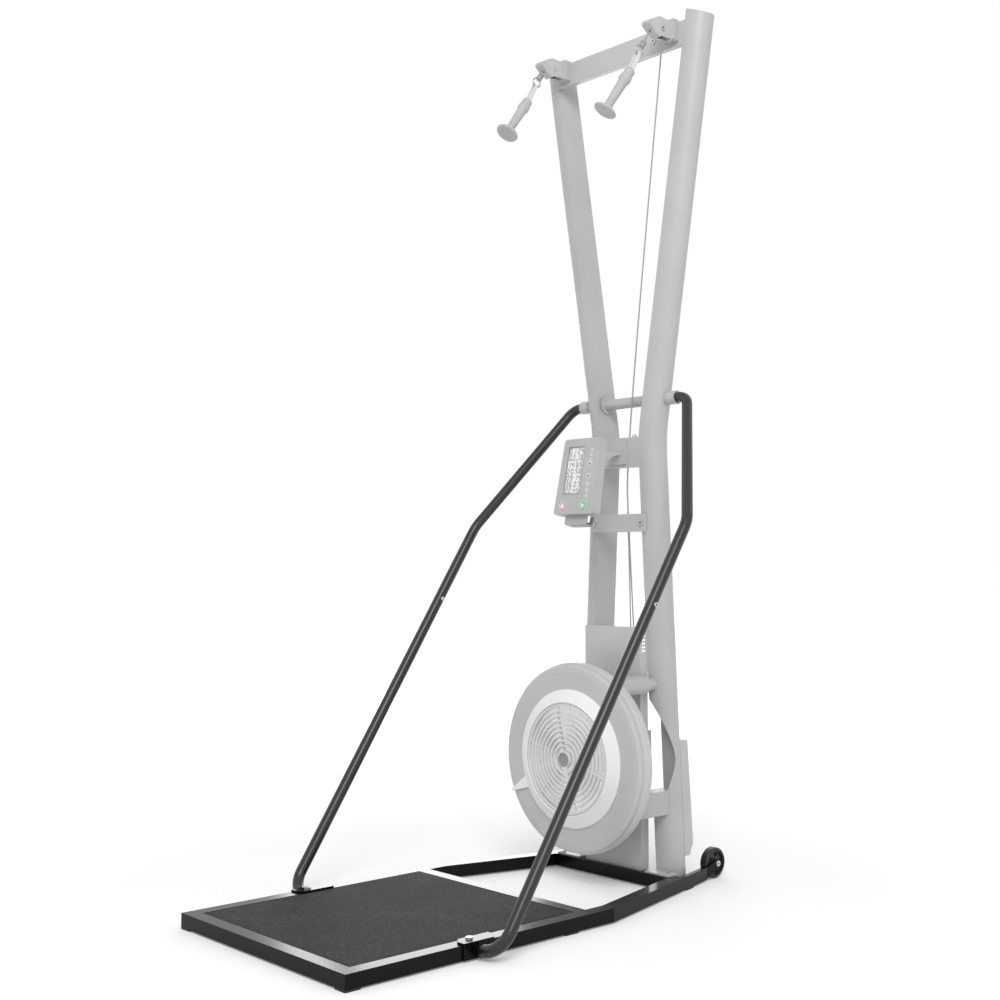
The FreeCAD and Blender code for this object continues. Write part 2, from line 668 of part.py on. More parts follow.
def above_column(down):
    """Everything above the slanted top of the right column, lowered by down."""
    x0 = COLUMN_TOP_X - 20
    x1 = COLUMN_TOP_X + 2 * COLUMN_WIDTH
    z0 = COLUMN_TOP_Z - down
    slant = [(x0, z0), (COLUMN_TOP_X, z0), (x1, z0 - (x1 - COLUMN_TOP_X) * COLUMN_TOP_SLOPE)]
    slant += [(x1, COLUMN_TOP_Z + 10), (x0, COLUMN_TOP_Z + 10)]
    return prism_xz(slant, COLUMN_FRONT_Y - 10, COLUMN_BACK_Y + 10)


def column():
    outer = column_body(COLUMN_FOOT_Z, COLUMN_TOP_Z, 0).cut(notch(0)).cut(above_column(0))
    hollow = column_body(COLUMN_FOOT_Z - 1, COLUMN_TOP_Z, COLUMN_WALL).cut(notch(COLUMN_WALL))
    hollow = hollow.cut(above_column(COLUMN_CAP))
    tube_hole = rod_x(HANDRAIL_TUBE_RADIUS + RUNNING_GAP, 0, COLUMN_TOP_X, COLUMN_Y, RAIL_TOP_Z)
    return outer.cut(hollow).cut(tube_hole).cut(crossbar_bolt_hole())


def column_stiffener():
    """A shallow folded cover on the lower back of a column, leaning with it."""
    top = STIFFENER_TOP_Z
    low = STIFFENER_BOTTOM_Z
    back = COLUMN_BACK_Y + STIFFENER_DEPTH
    outline = [(COLUMN_Y, low), (COLUMN_BACK_Y, low), (back, STIFFENER_BEND_Z), (back - 4, top - 3)]
    outline += [(back - 6, top), (COLUMN_Y, top)]
    slab = prism_yz(outline, 0, COLUMN_FOOT_X + COLUMN_WIDTH)
    low_x = column_x(low) + STIFFENER_INSET
    top_x = column_x(top) + STIFFENER_INSET
    strip = [(low_x, low), (low_x + STIFFENER_WIDTH, low), (top_x + STIFFENER_WIDTH, top), (top_x, top)]
    lean = prism_xz(strip, COLUMN_Y, back + 1)
    return slab.common(lean).cut(column_body(COLUMN_FOOT_Z, COLUMN_TOP_Z, 0))


# Plates between the columns, each folded from sheet.
def between_columns(z0, z1, y0, y1):
    """A plate that follows the columns' inner faces, also through their bend, and meets them."""
    levels = [z0] + [z for z in column_levels(z0, z1)[1:-1] if z0 < z < z1] + [z1]
    right = [(column_x(z), z) for z in levels]
    left = [(-x, z) for x, z in reversed(right)]
    return prism_xz(right + left, y0, y1)


def folded_plate(z0, z1, flange):
    outer = between_columns(z0, z1, COLUMN_FRONT_Y, COLUMN_FRONT_Y + flange)
    wide = box(-COLUMN_TOP_X, COLUMN_TOP_X, WEB_Y, COLUMN_FRONT_Y + flange + 1, z0 + SHEET, z1 - SHEET)
    return outer.cut(wide)


def cord_notch(z, flange):
    """The slot that lets both drive cords pass a folded flange at height z."""
    slope = (TURN_CORD_X - GUIDE_TOP_X) / (TURN_CORD_Z - GUIDE_TOP_Z)
    x = GUIDE_TOP_X + max(z - GUIDE_TOP_Z, 0) * slope
    return box(x - GUIDE_SLOT_HALF, x + GUIDE_SLOT_HALF, GUIDE_Y - GUIDE_SLOT_HALF,
               COLUMN_FRONT_Y + flange + 1, z - SHEET - 1, z + SHEET + 1)


def top_crossbeam():
    beam = folded_plate(BEAM_BOTTOM_Z, BEAM_TOP_Z, BEAM_FLANGE)
    beam = beam.cut(cord_notch(BEAM_BOTTOM_Z, BEAM_FLANGE))
    window = box(PULLEY_X - 8, PULLEY_X + 8, COLUMN_FRONT_Y - 1, WEB_Y + 1, TURN_CORD_Z - 7, TURN_CORD_Z + 3)
    beam = beam.cut(window).cut(mirrored(window))
    centres = turn_pulley_centres()
    for centre in centres:
        hole = rod_y(BOLT_RADIUS + BOLT_CLEARANCE, COLUMN_FRONT_Y - 1, WEB_Y + 1, centre.x, centre.z)
        beam = beam.cut(hole)
    return beam


def console_plate():
    plate = folded_plate(CONSOLE_PLATE_BOTTOM_Z, CONSOLE_PLATE_TOP_Z, CONSOLE_PLATE_FLANGE)
    for z in (CONSOLE_PLATE_BOTTOM_Z, CONSOLE_PLATE_TOP_Z):
        plate = plate.cut(cord_notch(z, CONSOLE_PLATE_FLANGE))
    return plate.fuse(cord_guide(GUIDE_TOP_X, GUIDE_TOP_Z, WEB_Y)).removeSplitter()


def cord_guide(x, z, front_y):
    """A small eyelet block through which the two drive cords run."""
    half = GUIDE_BLOCK_HALF
    slot_half = GUIDE_SLOT_HALF
    block = box(x - half, x + half, front_y, GUIDE_Y + half, z - 6, z + 6)
    slot = box(x - slot_half, x + slot_half, GUIDE_Y - slot_half, GUIDE_Y + slot_half, z - 7, z + 7)
    return block.cut(slot)


def lower_crossbar():
    front = COLUMN_FRONT_Y - CROSSBAR_THICKNESS
    bar = box(-CROSSBAR_HALF_WIDTH, CROSSBAR_HALF_WIDTH, front, COLUMN_FRONT_Y, CROSSBAR_BOTTOM_Z,
              CROSSBAR_TOP_Z)
    inner = box(-CROSSBAR_HALF_WIDTH + 24, CROSSBAR_HALF_WIDTH - 24, front + 3, COLUMN_FRONT_Y + 1,
                CROSSBAR_BOTTOM_Z + 3, CROSSBAR_TOP_Z - 3)
    hole = crossbar_bolt_hole()
    bar = bar.cut(inner).cut(hole).cut(mirrored(hole))
    return bar.fuse(cord_guide(GUIDE_LOW_X, GUIDE_LOW_Z, front + 2)).removeSplitter()


def handrail_cross_tube():
    """The tube through both columns, with a collar and a flange at each end for the handrails."""
    tube = rod_x(HANDRAIL_TUBE_RADIUS, -RAIL_END_X, RAIL_END_X, COLUMN_Y, RAIL_TOP_Z)
    inner_face = column_x(RAIL_TOP_Z)
    outer_face = inner_face + COLUMN_WIDTH + 3
    collar = rod_x(COLLAR_RADIUS, outer_face, RAIL_END_X, COLUMN_Y, RAIL_TOP_Z)
    flange_end = inner_face - 4
    flange_start = flange_end - COLLAR_FLANGE_THICKNESS
    flange = rod_x(COLLAR_FLANGE_RADIUS, flange_start, flange_end, COLUMN_Y, RAIL_TOP_Z)
    shape = joined([tube, collar, mirrored(collar), flange, mirrored(flange)])
    bore = rod_x(HANDRAIL_TUBE_RADIUS - 4, -RAIL_END_X - 1, RAIL_END_X + 1, COLUMN_Y, RAIL_TOP_Z)
    return shape.cut(bore)


# Fan: two turned shells round a vaned rotor, with a domed grille and a damper ring in front.
def front_shell_outline():
    """Outer half section of the front shell as (radius, y) points, from the collar to the split line."""
    collar = GRILLE_RADIUS + FIT_GAP + COLLAR_WALL
    lip_back = FAN_LIP_Y + 5
    points = [(collar, GRILLE_RIM_Y), (collar, FAN_FACE_Y), (FAN_FACE_RADIUS, FAN_FACE_Y)]
    points += [(FAN_FACE_RADIUS + 12, FAN_FACE_Y + 1.6)]
    points += [(FAN_LIP_RADIUS, FAN_LIP_Y), (FAN_LIP_RADIUS, lip_back)]
    points += [(FAN_GROOVE_RADIUS, lip_back + 1.5), (FAN_GROOVE_RADIUS, lip_back + 4)]
    points += [(FAN_RADIUS - 2.5, FAN_EDGE_Y - 3), (FAN_RADIUS, FAN_EDGE_Y), (FAN_RADIUS, FAN_SPLIT_Y)]
    return points


def rear_shell_outline():
    """Outer half section of the rear shell as (radius, y) points, stepping in to the flat back wall."""
    split = FAN_SPLIT_Y
    return [(FAN_RADIUS, split), (FAN_RADIUS - 1.5, split + 5), (FAN_RADIUS - 15, split + 17),
            (FAN_RADIUS - 19, split + 22), (FAN_RADIUS - 26, split + 31), (FAN_BACK_RADIUS, FAN_BACK_Y)]


def front_shell():
    w = SHELL_WALL
    collar_in = GRILLE_RADIUS + FIT_GAP
    outer = [(collar_in, GRILLE_RIM_Y)] + front_shell_outline()
    shell_in = FAN_GROOVE_RADIUS - w
    inner = [(FAN_RADIUS - w, FAN_SPLIT_Y), (FAN_RADIUS - w, FAN_EDGE_Y + 1), (shell_in, FAN_EDGE_Y - 2)]
    inner += [(shell_in, FAN_LIP_Y + w), (FAN_FACE_RADIUS, FAN_FACE_Y + w), (collar_in, FAN_FACE_Y + w)]
    return turned_y(outer + inner, FAN_Z)


def rear_shell():
    w = SHELL_WALL
    seat = BEARING_RADIUS
    boss = seat + 6
    boss_end = FRONT_BEARING_Y + BEARING_WIDTH + 2
    lip = SHAFT_RADIUS + 4
    steps = rear_shell_outline()
    outer = steps + [(boss, FAN_BACK_Y), (boss, boss_end)]
    outer += [(lip, boss_end), (lip, boss_end - 2), (seat, boss_end - 2)]
    outer += [(seat, FRONT_BEARING_Y), (seat, FAN_BACK_Y - w)]
    inner = [(r - w, y - w / 2) for r, y in steps]
    inner[0] = (FAN_RADIUS - w, FAN_SPLIT_Y)
    inner[-1] = (FAN_BACK_RADIUS - w, FAN_BACK_Y - w)
    return turned_y(outer + inner[::-1], FAN_Z)


def grille_face_y(radius):
    return GRILLE_RIM_Y - GRILLE_DOME * (1 - (radius / GRILLE_RADIUS) ** 2)


def grille():
    spoke_y = GRILLE_RIM_Y + GRILLE_DEPTH
    pitch = (GRILLE_RADIUS - GRILLE_HUB_RADIUS) / (GRILLE_RINGS + 0.5)
    hub_y = grille_face_y(0)
    parts = [rod_y(GRILLE_HUB_RADIUS, hub_y, spoke_y, 0, FAN_Z)]
    rim_in = GRILLE_RADIUS - GRILLE_BAR
    rim_y = grille_face_y(GRILLE_RADIUS - GRILLE_BAR / 2)
    parts.append(turned_y([(rim_in, rim_y), (GRILLE_RADIUS, rim_y), (GRILLE_RADIUS, spoke_y + 3),
                           (rim_in, spoke_y + 3)], FAN_Z))
    for k in range(1, GRILLE_RINGS):
        r0 = GRILLE_HUB_RADIUS + k * pitch
        r1 = r0 + GRILLE_BAR
        section = [(r0, grille_face_y(r0)), (r1, grille_face_y(r1)), (r1, spoke_y), (r0, spoke_y)]
        parts.append(turned_y(section, FAN_Z))
    for k in range(GRILLE_SPOKES):
        spoke = box(GRILLE_HUB_RADIUS - 4, rim_in + 2, GRILLE_RIM_Y - 1, spoke_y, FAN_Z - 1.6, FAN_Z + 1.6)
        spoke.rotate(V(0, 0, FAN_Z), V(0, 1, 0), 15 + 360 * k / GRILLE_SPOKES)
        parts.append(spoke)
    return joined(parts)


def damper_ring():
    inner = GRILLE_RADIUS + FIT_GAP + COLLAR_WALL + RUNNING_GAP
    back = FAN_FACE_Y - FIT_GAP
    front_out = back - DAMPER_THICKNESS
    front_in = front_out - DAMPER_RISE
    points = [(inner, front_in), (inner + 2, front_in - 1.2), (DAMPER_RADIUS - 4, front_out - 1.6)]
    points += [(DAMPER_RADIUS, front_out + 1), (DAMPER_RADIUS, back), (inner + 8, back), (inner, back - 4)]
    ring = turned_y(points, FAN_Z)
    root = DAMPER_RADIUS - 8
    half = LEVER_WIDTH / 2
    lever = prism_xz([(root, FAN_Z - half), (LEVER_RADIUS, FAN_Z - 3), (LEVER_RADIUS, FAN_Z + 3),
                      (root, FAN_Z + half)], front_out - 2, back)
    lever.rotate(V(0, 0, FAN_Z), V(0, 1, 0), -math.degrees(LEVER_ANGLE))
    return joined([ring, lever])


def fan_rotor():
    disc = rod_y(ROTOR_RADIUS, ROTOR_BACK_Y - ROTOR_DISC, ROTOR_BACK_Y, 0, FAN_Z)
    hub = rod_y(ROTOR_HUB_RADIUS, ROTOR_BACK_Y - 24, ROTOR_HUB_BACK_Y, 0, FAN_Z)
    rim = turned_y([(ROTOR_RADIUS - 14, ROTOR_BACK_Y), (ROTOR_RADIUS, ROTOR_BACK_Y),
                    (ROTOR_RADIUS, ROTOR_BACK_Y + 14), (ROTOR_RADIUS - 14, ROTOR_BACK_Y + 14)], FAN_Z)
    shroud = turned_y([(ROTOR_RADIUS - 26, ROTOR_FRONT_Y), (ROTOR_RADIUS, ROTOR_FRONT_Y),
                       (ROTOR_RADIUS, ROTOR_FRONT_Y + 3), (ROTOR_RADIUS - 26, ROTOR_FRONT_Y + 3)], FAN_Z)
    parts = [disc, hub, rim, shroud]
    for k in range(ROTOR_VANES):
        vane = box(ROTOR_INNER_RADIUS, ROTOR_RADIUS - 1, ROTOR_FRONT_Y + 1, ROTOR_BACK_Y - 1,
                   FAN_Z - VANE_THICKNESS / 2, FAN_Z + VANE_THICKNESS / 2)
        vane.rotate(V(ROTOR_INNER_RADIUS, 0, FAN_Z), V(0, 1, 0), 28)
        vane.rotate(V(0, 0, FAN_Z), V(0, 1, 0), 360 * k / ROTOR_VANES)
        parts.append(vane.common(rod_y(ROTOR_RADIUS, ROTOR_FRONT_Y, ROTOR_BACK_Y, 0, FAN_Z)))
    body = joined(parts)
    return body.cut(rod_y(SHAFT_RADIUS, ROTOR_FRONT_Y, ROTOR_HUB_BACK_Y + 1, 0, FAN_Z))


def shaft():
    nut_front = ROTOR_BACK_Y - 24
    body = rod_y(SHAFT_RADIUS, SHAFT_FRONT_Y, SHAFT_REAR_Y, 0, FAN_Z)
    nut = rod_y(SHAFT_RADIUS + 5, nut_front - 9, nut_front, 0, FAN_Z)
    return body.fuse(nut).removeSplitter()


def bearings():
    rings = []
    for y in (FRONT_BEARING_Y, REAR_BEARING_Y):
        ring = turned_y([(SHAFT_RADIUS + RUNNING_GAP, y), (BEARING_RADIUS, y),
                         (BEARING_RADIUS, y + BEARING_WIDTH), (SHAFT_RADIUS + RUNNING_GAP, y + BEARING_WIDTH)], FAN_Z)
        rings.append(ring)
    return Part.makeCompound(rings)


# Covers: the tall folded front cover behind the fan and the box round the cord spools.
def front_cover():
    w = COVER_WALL
    outer = box(-COVER_HALF_WIDTH, COVER_HALF_WIDTH, COVER_FRONT_Y, COLUMN_FRONT_Y, STAND_TOP, COVER_TOP_Z)
    inner = box(-COVER_HALF_WIDTH + w, COVER_HALF_WIDTH - w, COVER_FRONT_Y + w, COLUMN_FRONT_Y + 1,
                STAND_TOP + w, COVER_TOP_Z - w)
    shape = outer.cut(inner)
    seat_end = REAR_BEARING_Y + BEARING_WIDTH
    boss = turned_y([(BEARING_RADIUS, COVER_FRONT_Y + 1), (BEARING_RADIUS + 8, COVER_FRONT_Y + 1),
                     (BEARING_RADIUS + 8, seat_end), (BEARING_RADIUS, seat_end)], FAN_Z)
    shape = shape.fuse(boss)
    shape = shape.cut(rod_y(BEARING_RADIUS, COVER_FRONT_Y - 1, seat_end + 1, 0, FAN_Z))
    for k in range(COVER_VENTS):
        z = COVER_TOP_Z - 22 - k * COVER_VENT_PITCH
        vent = box(COVER_HALF_WIDTH - 6, COVER_HALF_WIDTH + 1, COVER_FRONT_Y + 7, COLUMN_FRONT_Y - 6,
                   z - COVER_VENT_HEIGHT / 2, z + COVER_VENT_HEIGHT / 2)
        shape = shape.cut(vent).cut(mirrored(vent))
    return shape


def drive_box():
    w = COVER_WALL
    front = COLUMN_FRONT_Y
    outer = box(-DRIVE_BOX_HALF_WIDTH, DRIVE_BOX_HALF_WIDTH, front, DRIVE_BOX_REAR_Y,
                DRIVE_BOX_BOTTOM_Z, DRIVE_BOX_TOP_Z)
    inner = box(-DRIVE_BOX_HALF_WIDTH + w, DRIVE_BOX_HALF_WIDTH - w, front - 1, DRIVE_BOX_REAR_Y - w,
                DRIVE_BOX_BOTTOM_Z + w, DRIVE_BOX_TOP_Z - w)
    cord_x = SPOOL_GROOVE + CORD_RADIUS
    slot = box(cord_x - 18, cord_x + 8, LEFT_SPOOL_Y - 5, RIGHT_SPOOL_Y + 5,
               DRIVE_BOX_TOP_Z - w - 1, DRIVE_BOX_TOP_Z + 1)
    ears = []
    for side in (-1, 1):
        x0 = side * DRIVE_BOX_HALF_WIDTH
        x1 = x0 + side * DRIVE_BOX_EAR
        ears.append(box(min(x0, x1), max(x0, x1), front, front + w,
                        DRIVE_BOX_BOTTOM_Z + 20, DRIVE_BOX_TOP_Z - 20))
    return joined([outer.cut(inner).cut(slot)] + ears)


def fan_struts():
    """Round struts above and flat arms below, from the back of the fan to the fronts of the columns."""
    fan_solid = turned_y([(0, FAN_SPLIT_Y)] + rear_shell_outline() + [(0, FAN_BACK_Y)], FAN_Z)
    post = column_body(COLUMN_FOOT_Z, COLUMN_TOP_Z, 0).cut(notch(0))
    strut = rod_y(STRUT_RADIUS, FAN_SPLIT_Y, STRUT_END_Y, STRUT_X, STRUT_Z)
    neck = rod_y(STRUT_RADIUS - STRUT_SHOULDER, STRUT_END_Y - 1, COLUMN_Y, STRUT_X, STRUT_Z)
    stud = neck.cut(box(0, column_x(STRUT_Z) + 1, 0, TOTAL_LENGTH, 0, COVER_TOP_Z))
    arm = box(ARM_OUTER_X - ARM_WIDTH, ARM_OUTER_X, FAN_SPLIT_Y, COLUMN_FRONT_Y + NOTCH_DEPTH,
              ARM_BOTTOM_Z, ARM_TOP_Z)
    shapes = []
    for piece in (strut.fuse(stud).removeSplitter(), arm):
        shapes.append(both_sides(piece.cut(fan_solid).cut(post)))
    return Part.makeCompound(shapes)


# Cord drive: each cord runs over a nose pulley, behind the crossbeam and over a turning pulley,
# then in front of the handrail cross tube and down to its spool.
def cord_route(side):
    left = side < 0
    x = side * PULLEY_X
    turn_y = GUIDE_Y + side * TURN_PULLEY_STEP
    drop_x = TURN_CORD_X + side * TURN_CORD_STEP
    guide_y = GUIDE_Y + side * GUIDE_HALF_STEP
    spool_y = LEFT_SPOOL_Y if left else RIGHT_SPOOL_Y
    free = FREE_CORD_LEFT if left else FREE_CORD_RIGHT
    exit_point = V(x, CORD_EXIT_Y, CORD_EXIT_Z)
    end_point = exit_point + PULL * (free - RING_RADIUS - SWIVEL_LENGTH - FIT_GAP)
    nose = exit_point - PULL * ((TURN_CORD_Z - CORD_EXIT_Z) / math.cos(PULL_ANGLE))
    return [
        end_point,
        nose,
        V(x, turn_y, TURN_CORD_Z),
        V(drop_x, turn_y, TURN_CORD_Z),
        V(GUIDE_TOP_X - side * GUIDE_HALF_STEP, guide_y, GUIDE_TOP_Z),
        V(GUIDE_LOW_X - side * GUIDE_HALF_STEP, guide_y, GUIDE_LOW_Z),
        V(SPOOL_GROOVE + CORD_RADIUS, spool_y, FAN_Z),
    ]


CORD_BENDS = [TOP_PULLEY_GROOVE + CORD_RADIUS, 12.0, TURN_PULLEY_GROOVE + CORD_RADIUS, 300.0, 300.0]


def turn_pulley_centres():
    """Centres of the two turning pulleys, from the arcs that the cords make there."""
    centres = []
    for side in (-1, 1):
        wire, arcs = rounded_route(cord_route(side), CORD_BENDS)
        centres.append(arcs[2])
    return centres


def nose_pulley_centre(side):
    wire, arcs = rounded_route(cord_route(side), CORD_BENDS)
    return arcs[0]


def drive_cords():
    cords = []
    for side in (-1, 1):
        cords.append(rod_along(cord_route(side), CORD_BENDS, CORD_RADIUS))
    return Part.makeCompound(cords)


def pulley_profile(groove, width, bore):
    """Half section of a grooved pulley as (radius, offset along its axle) points."""
    outer = groove + PULLEY_FLANGE
    half = width / 2
    rim = half - PULLEY_RIM
    floor = groove - GROOVE_FLOOR_INSET
    floor_half = CORD_RADIUS - GROOVE_FLOOR_INSET
    return [(bore, -half), (outer, -half), (outer, -rim), (floor, -floor_half),
            (floor, floor_half), (outer, rim), (outer, half), (bore, half)]


def top_pulley(side):
    centre = nose_pulley_centre(side)
    profile = pulley_profile(TOP_PULLEY_GROOVE, PULLEY_WIDTH, BOLT_RADIUS + RUNNING_GAP)
    corners = [V(centre.x + a, centre.y, centre.z + r) for r, a in profile]
    face = Part.Face(Part.makePolygon(corners + corners[:1]))
    return face.revolve(centre, V(1, 0, 0), 360)


def turned_round_y(profile, centre):
    corners = [V(centre.x + r, centre.y + a, centre.z) for r, a in profile]
    face = Part.Face(Part.makePolygon(corners + corners[:1]))
    return face.revolve(centre, V(0, 1, 0), 360)


def turn_pulley(side):
    centre = turn_pulley_centres()[0 if side < 0 else 1]
    profile = pulley_profile(TURN_PULLEY_GROOVE, TURN_PULLEY_WIDTH, BOLT_RADIUS + RUNNING_GAP)
    return turned_round_y(profile, centre)


def spool(side):
    y = LEFT_SPOOL_Y if side < 0 else RIGHT_SPOOL_Y
    half = SPOOL_WIDTH / 2
    bore = SHAFT_RADIUS + RUNNING_GAP
    neck = SPOOL_GROOVE - 0.3
    profile = [(bore, -half - 3), (bore + 4, -half - 3), (bore + 4, -half), (SPOOL_FLANGE, -half)]
    profile += [(SPOOL_FLANGE, -half + 1.5), (neck, -half + 2.5), (neck, half - 2.5)]
    profile += [(SPOOL_FLANGE, half - 1.5), (SPOOL_FLANGE, half), (bore, half)]
    return turned_round_y(profile, V(0, y, FAN_Z))


# Pulley brackets: two cheeks on a mounting block that is bolted to the crossbeam.
def nose_edge():
    """The slanted lower front edge of a pulley bracket as (y, z) points, where the bumper sits."""
    low = HOUSING_BOTTOM_Z
    return [(NOSE_TIP_Y + 14, low + 24), (NOSE_TIP_Y + 30, low + 10), (NOSE_TIP_Y + 46, low + 2)]


def pulley_bracket():
    centre = nose_pulley_centre(1)
    outline = nose_edge() + [(BLOCK_FRONT_Y, HOUSING_BOTTOM_Z + 3), (BLOCK_FRONT_Y, HOUSING_TOP_Z - 2)]
    top = HOUSING_TOP_Z
    outline += [(NOSE_TIP_Y + 44, top), (NOSE_TIP_Y + 30, top - 4), (NOSE_TIP_Y + 17, top - 11)]
    parts = []
    for side in (-1, 1):
        x0 = PULLEY_X + side * CHEEK_HALF_GAP
        x1 = x0 + side * CHEEK_THICKNESS
        parts.append(prism_yz(outline, min(x0, x1), max(x0, x1)))
    block = box(PULLEY_X - BLOCK_HALF_WIDTH, PULLEY_X + BLOCK_HALF_WIDTH, BLOCK_FRONT_Y, COLUMN_FRONT_Y,
                HOUSING_BOTTOM_Z, BLOCK_TOP_Z)
    for k in range(BLOCK_RIBS):
        y = BLOCK_FRONT_Y + 5 + k * BLOCK_RIB_PITCH
        band = box(PULLEY_X - 40, PULLEY_X + 40, y, y + 2.5, HOUSING_BOTTOM_Z - 1, BLOCK_TOP_Z + 1)
        core = box(PULLEY_X - BLOCK_HALF_WIDTH + 2, PULLEY_X + BLOCK_HALF_WIDTH - 2, y - 1, y + 4,
                   HOUSING_BOTTOM_Z + 2, BLOCK_TOP_Z - 2)
        block = block.cut(band.cut(core))
    tunnel = box(PULLEY_X - 6, PULLEY_X + 6, BLOCK_FRONT_Y - 1, COLUMN_FRONT_Y + 1,
                 TURN_CORD_Z - 6, TURN_CORD_Z + 5)
    shape = joined(parts + [block.cut(tunnel)])
    return shape.cut(rod_x(BOLT_RADIUS, PULLEY_X - 40, PULLEY_X + 40, centre.y, centre.z))


def nose_bumper():
    """The dark bumper between the cheeks, where the cord leaves."""
    outline = [(NOSE_TIP_Y, HOUSING_BOTTOM_Z + 22), (NOSE_TIP_Y + 4, HOUSING_BOTTOM_Z + 31)] + nose_edge()
    outline += [(NOSE_TIP_Y + 42, HOUSING_BOTTOM_Z - 3), (NOSE_TIP_Y + 23, HOUSING_BOTTOM_Z + 4)]
    half = CHEEK_HALF_GAP + CHEEK_THICKNESS
    body = prism_yz(outline, PULLEY_X - half, PULLEY_X + half)
    exit_point = V(PULLEY_X, CORD_EXIT_Y, CORD_EXIT_Z)
    channel = Part.makeCylinder(CORD_RADIUS + 1.2, 80, exit_point - PULL * 40, PULL)
    centre = nose_pulley_centre(1)
    room = rod_x(TOP_PULLEY_GROOVE + PULLEY_FLANGE + 1, PULLEY_X - CHEEK_HALF_GAP, PULLEY_X + CHEEK_HALF_GAP,
                 centre.y, centre.z)
    return body.cut(channel).cut(room)


def pulley_axles():
    nose = nose_pulley_centre(1)
    reach = CHEEK_HALF_GAP + CHEEK_THICKNESS
    pin = rod_x(BOLT_RADIUS, PULLEY_X - reach - 2, PULLEY_X + reach, nose.y, nose.z)
    head = rod_x(BOLT_HEAD_RADIUS, PULLEY_X + reach, PULLEY_X + reach + 3, nose.y, nose.z)
    axles = [both_sides(joined([pin, head]))]
    for side, centre in zip((-1, 1), turn_pulley_centres()):
        end = centre.y + TURN_PULLEY_WIDTH / 2 + 1
        stem = rod_y(BOLT_RADIUS, COLUMN_FRONT_Y - 0.5, end, centre.x, centre.z)
        cap = rod_y(BOLT_HEAD_RADIUS, COLUMN_FRONT_Y - BOLT_HEAD_HEIGHT, COLUMN_FRONT_Y, centre.x, centre.z)
        shoulder = rod_y(BOLT_RADIUS + 1, WEB_Y, centre.y - TURN_PULLEY_WIDTH / 2 - 0.4, centre.x, centre.z)
        axles.append(joined([stem, cap, shoulder]))
    return Part.makeCompound(axles)


# Handles: a swivel with a ring, a webbing loop and a grip with an end disc, hung along the pull line.
def ring_point(side):
    free = FREE_CORD_LEFT if side < 0 else FREE_CORD_RIGHT
    return V(side * PULLEY_X, CORD_EXIT_Y, CORD_EXIT_Z) + PULL * free


def hung(shape, place, along):
    """Turns a shape modelled hanging down from the origin onto a direction and hangs it at a place."""
    turn = FreeCAD.Rotation(V(0, 0, -1), along)
    shape.rotate(V(0, 0, 0), turn.Axis, math.degrees(turn.Angle))
    shape.translate(place)
    return shape


def strap_direction():
    return V(0, -math.sin(STRAP_ANGLE), -math.cos(STRAP_ANGLE))


def swivel(side):
    """A wire ring in a short barrel at the end of the cord."""
    ring = Part.makeTorus(RING_RADIUS, RING_WIRE, V(0, 0, 0), V(1, 0, 0))
    barrel = Part.makeCylinder(SWIVEL_RADIUS, SWIVEL_LENGTH, V(0, 0, RING_RADIUS), V(0, 0, 1))
    barrel = barrel.makeFillet(1.5, [e for e in barrel.Edges if len(e.Vertexes) == 1])
    return hung(joined([ring, barrel]), ring_point(side), PULL)


def strap(side):
    """A loop of webbing through the ring, sewn into the top of the grip."""
    half = STRAP_HALF_GAP
    hole = RING_RADIUS - RING_WIRE
    width = STRAP_WIDTH / 2
    top = STRAP_THICKNESS + FIT_GAP - math.sqrt(hole ** 2 - width ** 2)
    drop = -STRAP_LENGTH - STRAP_SINK
    bend = half + STRAP_THICKNESS
    legs = box(-bend, bend, -width, width, drop, top - bend)
    outer = joined([legs, rod_y(bend, -width, width, 0, top - bend)])
    inner = joined([box(-half, half, -2 * width, 2 * width, drop + 8, top - bend),
                    rod_y(half, -2 * width, 2 * width, 0, top - bend)])
    loop = hung(outer.cut(inner), ring_point(side), strap_direction())
    return loop.cut(grip(side))


def grip(side):
    """The handle: a tapered grip with a collar near the top and a flat disc at the lower end."""
    r = GRIP_RADIUS
    neck = GRIP_NECK_RADIUS
    low = -GRIP_LENGTH
    profile = [(0, 0), (r - 3, 0), (r, -4), (r, -18), (GRIP_COLLAR_RADIUS, -24), (GRIP_COLLAR_RADIUS, -33)]
    profile += [(r - 0.5, -40), (neck + 1, -72), (neck, low + 24), (neck + 2, low + DISC_THICKNESS + 5)]
    profile += [(neck + 6, low + DISC_THICKNESS + 1), (DISC_RADIUS - 3, low + DISC_THICKNESS)]
    profile += [(DISC_RADIUS, low + DISC_THICKNESS - 3), (DISC_RADIUS - 1, low + 2), (DISC_RADIUS - 5, low)]
    profile += [(0, low)]
    top = ring_point(side) + strap_direction() * STRAP_LENGTH
    lean = LEFT_GRIP_LEAN if side < 0 else RIGHT_GRIP_LEAN
    return hung(turned_z(profile), top, lean)


# Console: a tilted display case on a hinged arm.
def on_console(shape):
    """Tilts a shape modelled round the middle of the console face and puts it in place."""
    shape.rotate(V(0, 0, 0), V(1, 0, 0), -CONSOLE_TILT)
    shape.translate(V(0, CONSOLE_Y, CONSOLE_Z))
    return shape


def console_outline(inset):
    top = CONSOLE_HEIGHT / 2 - inset
    half_top = CONSOLE_TOP_WIDTH / 2 - inset
    half_bottom = CONSOLE_BOTTOM_WIDTH / 2 - inset
    return [(-half_bottom, -top), (half_bottom, -top), (half_top, top), (-half_top, top)]


def button_places():
    return [("start_button", START_X, MAIN_BUTTON_Z, MAIN_BUTTON_RADIUS),
            ("stop_button", STOP_X, MAIN_BUTTON_Z, MAIN_BUTTON_RADIUS),
            ("up_key", KEY_X, KEY_UP_Z, KEY_RADIUS),
            ("down_key", KEY_X, KEY_DOWN_Z, KEY_RADIUS)]


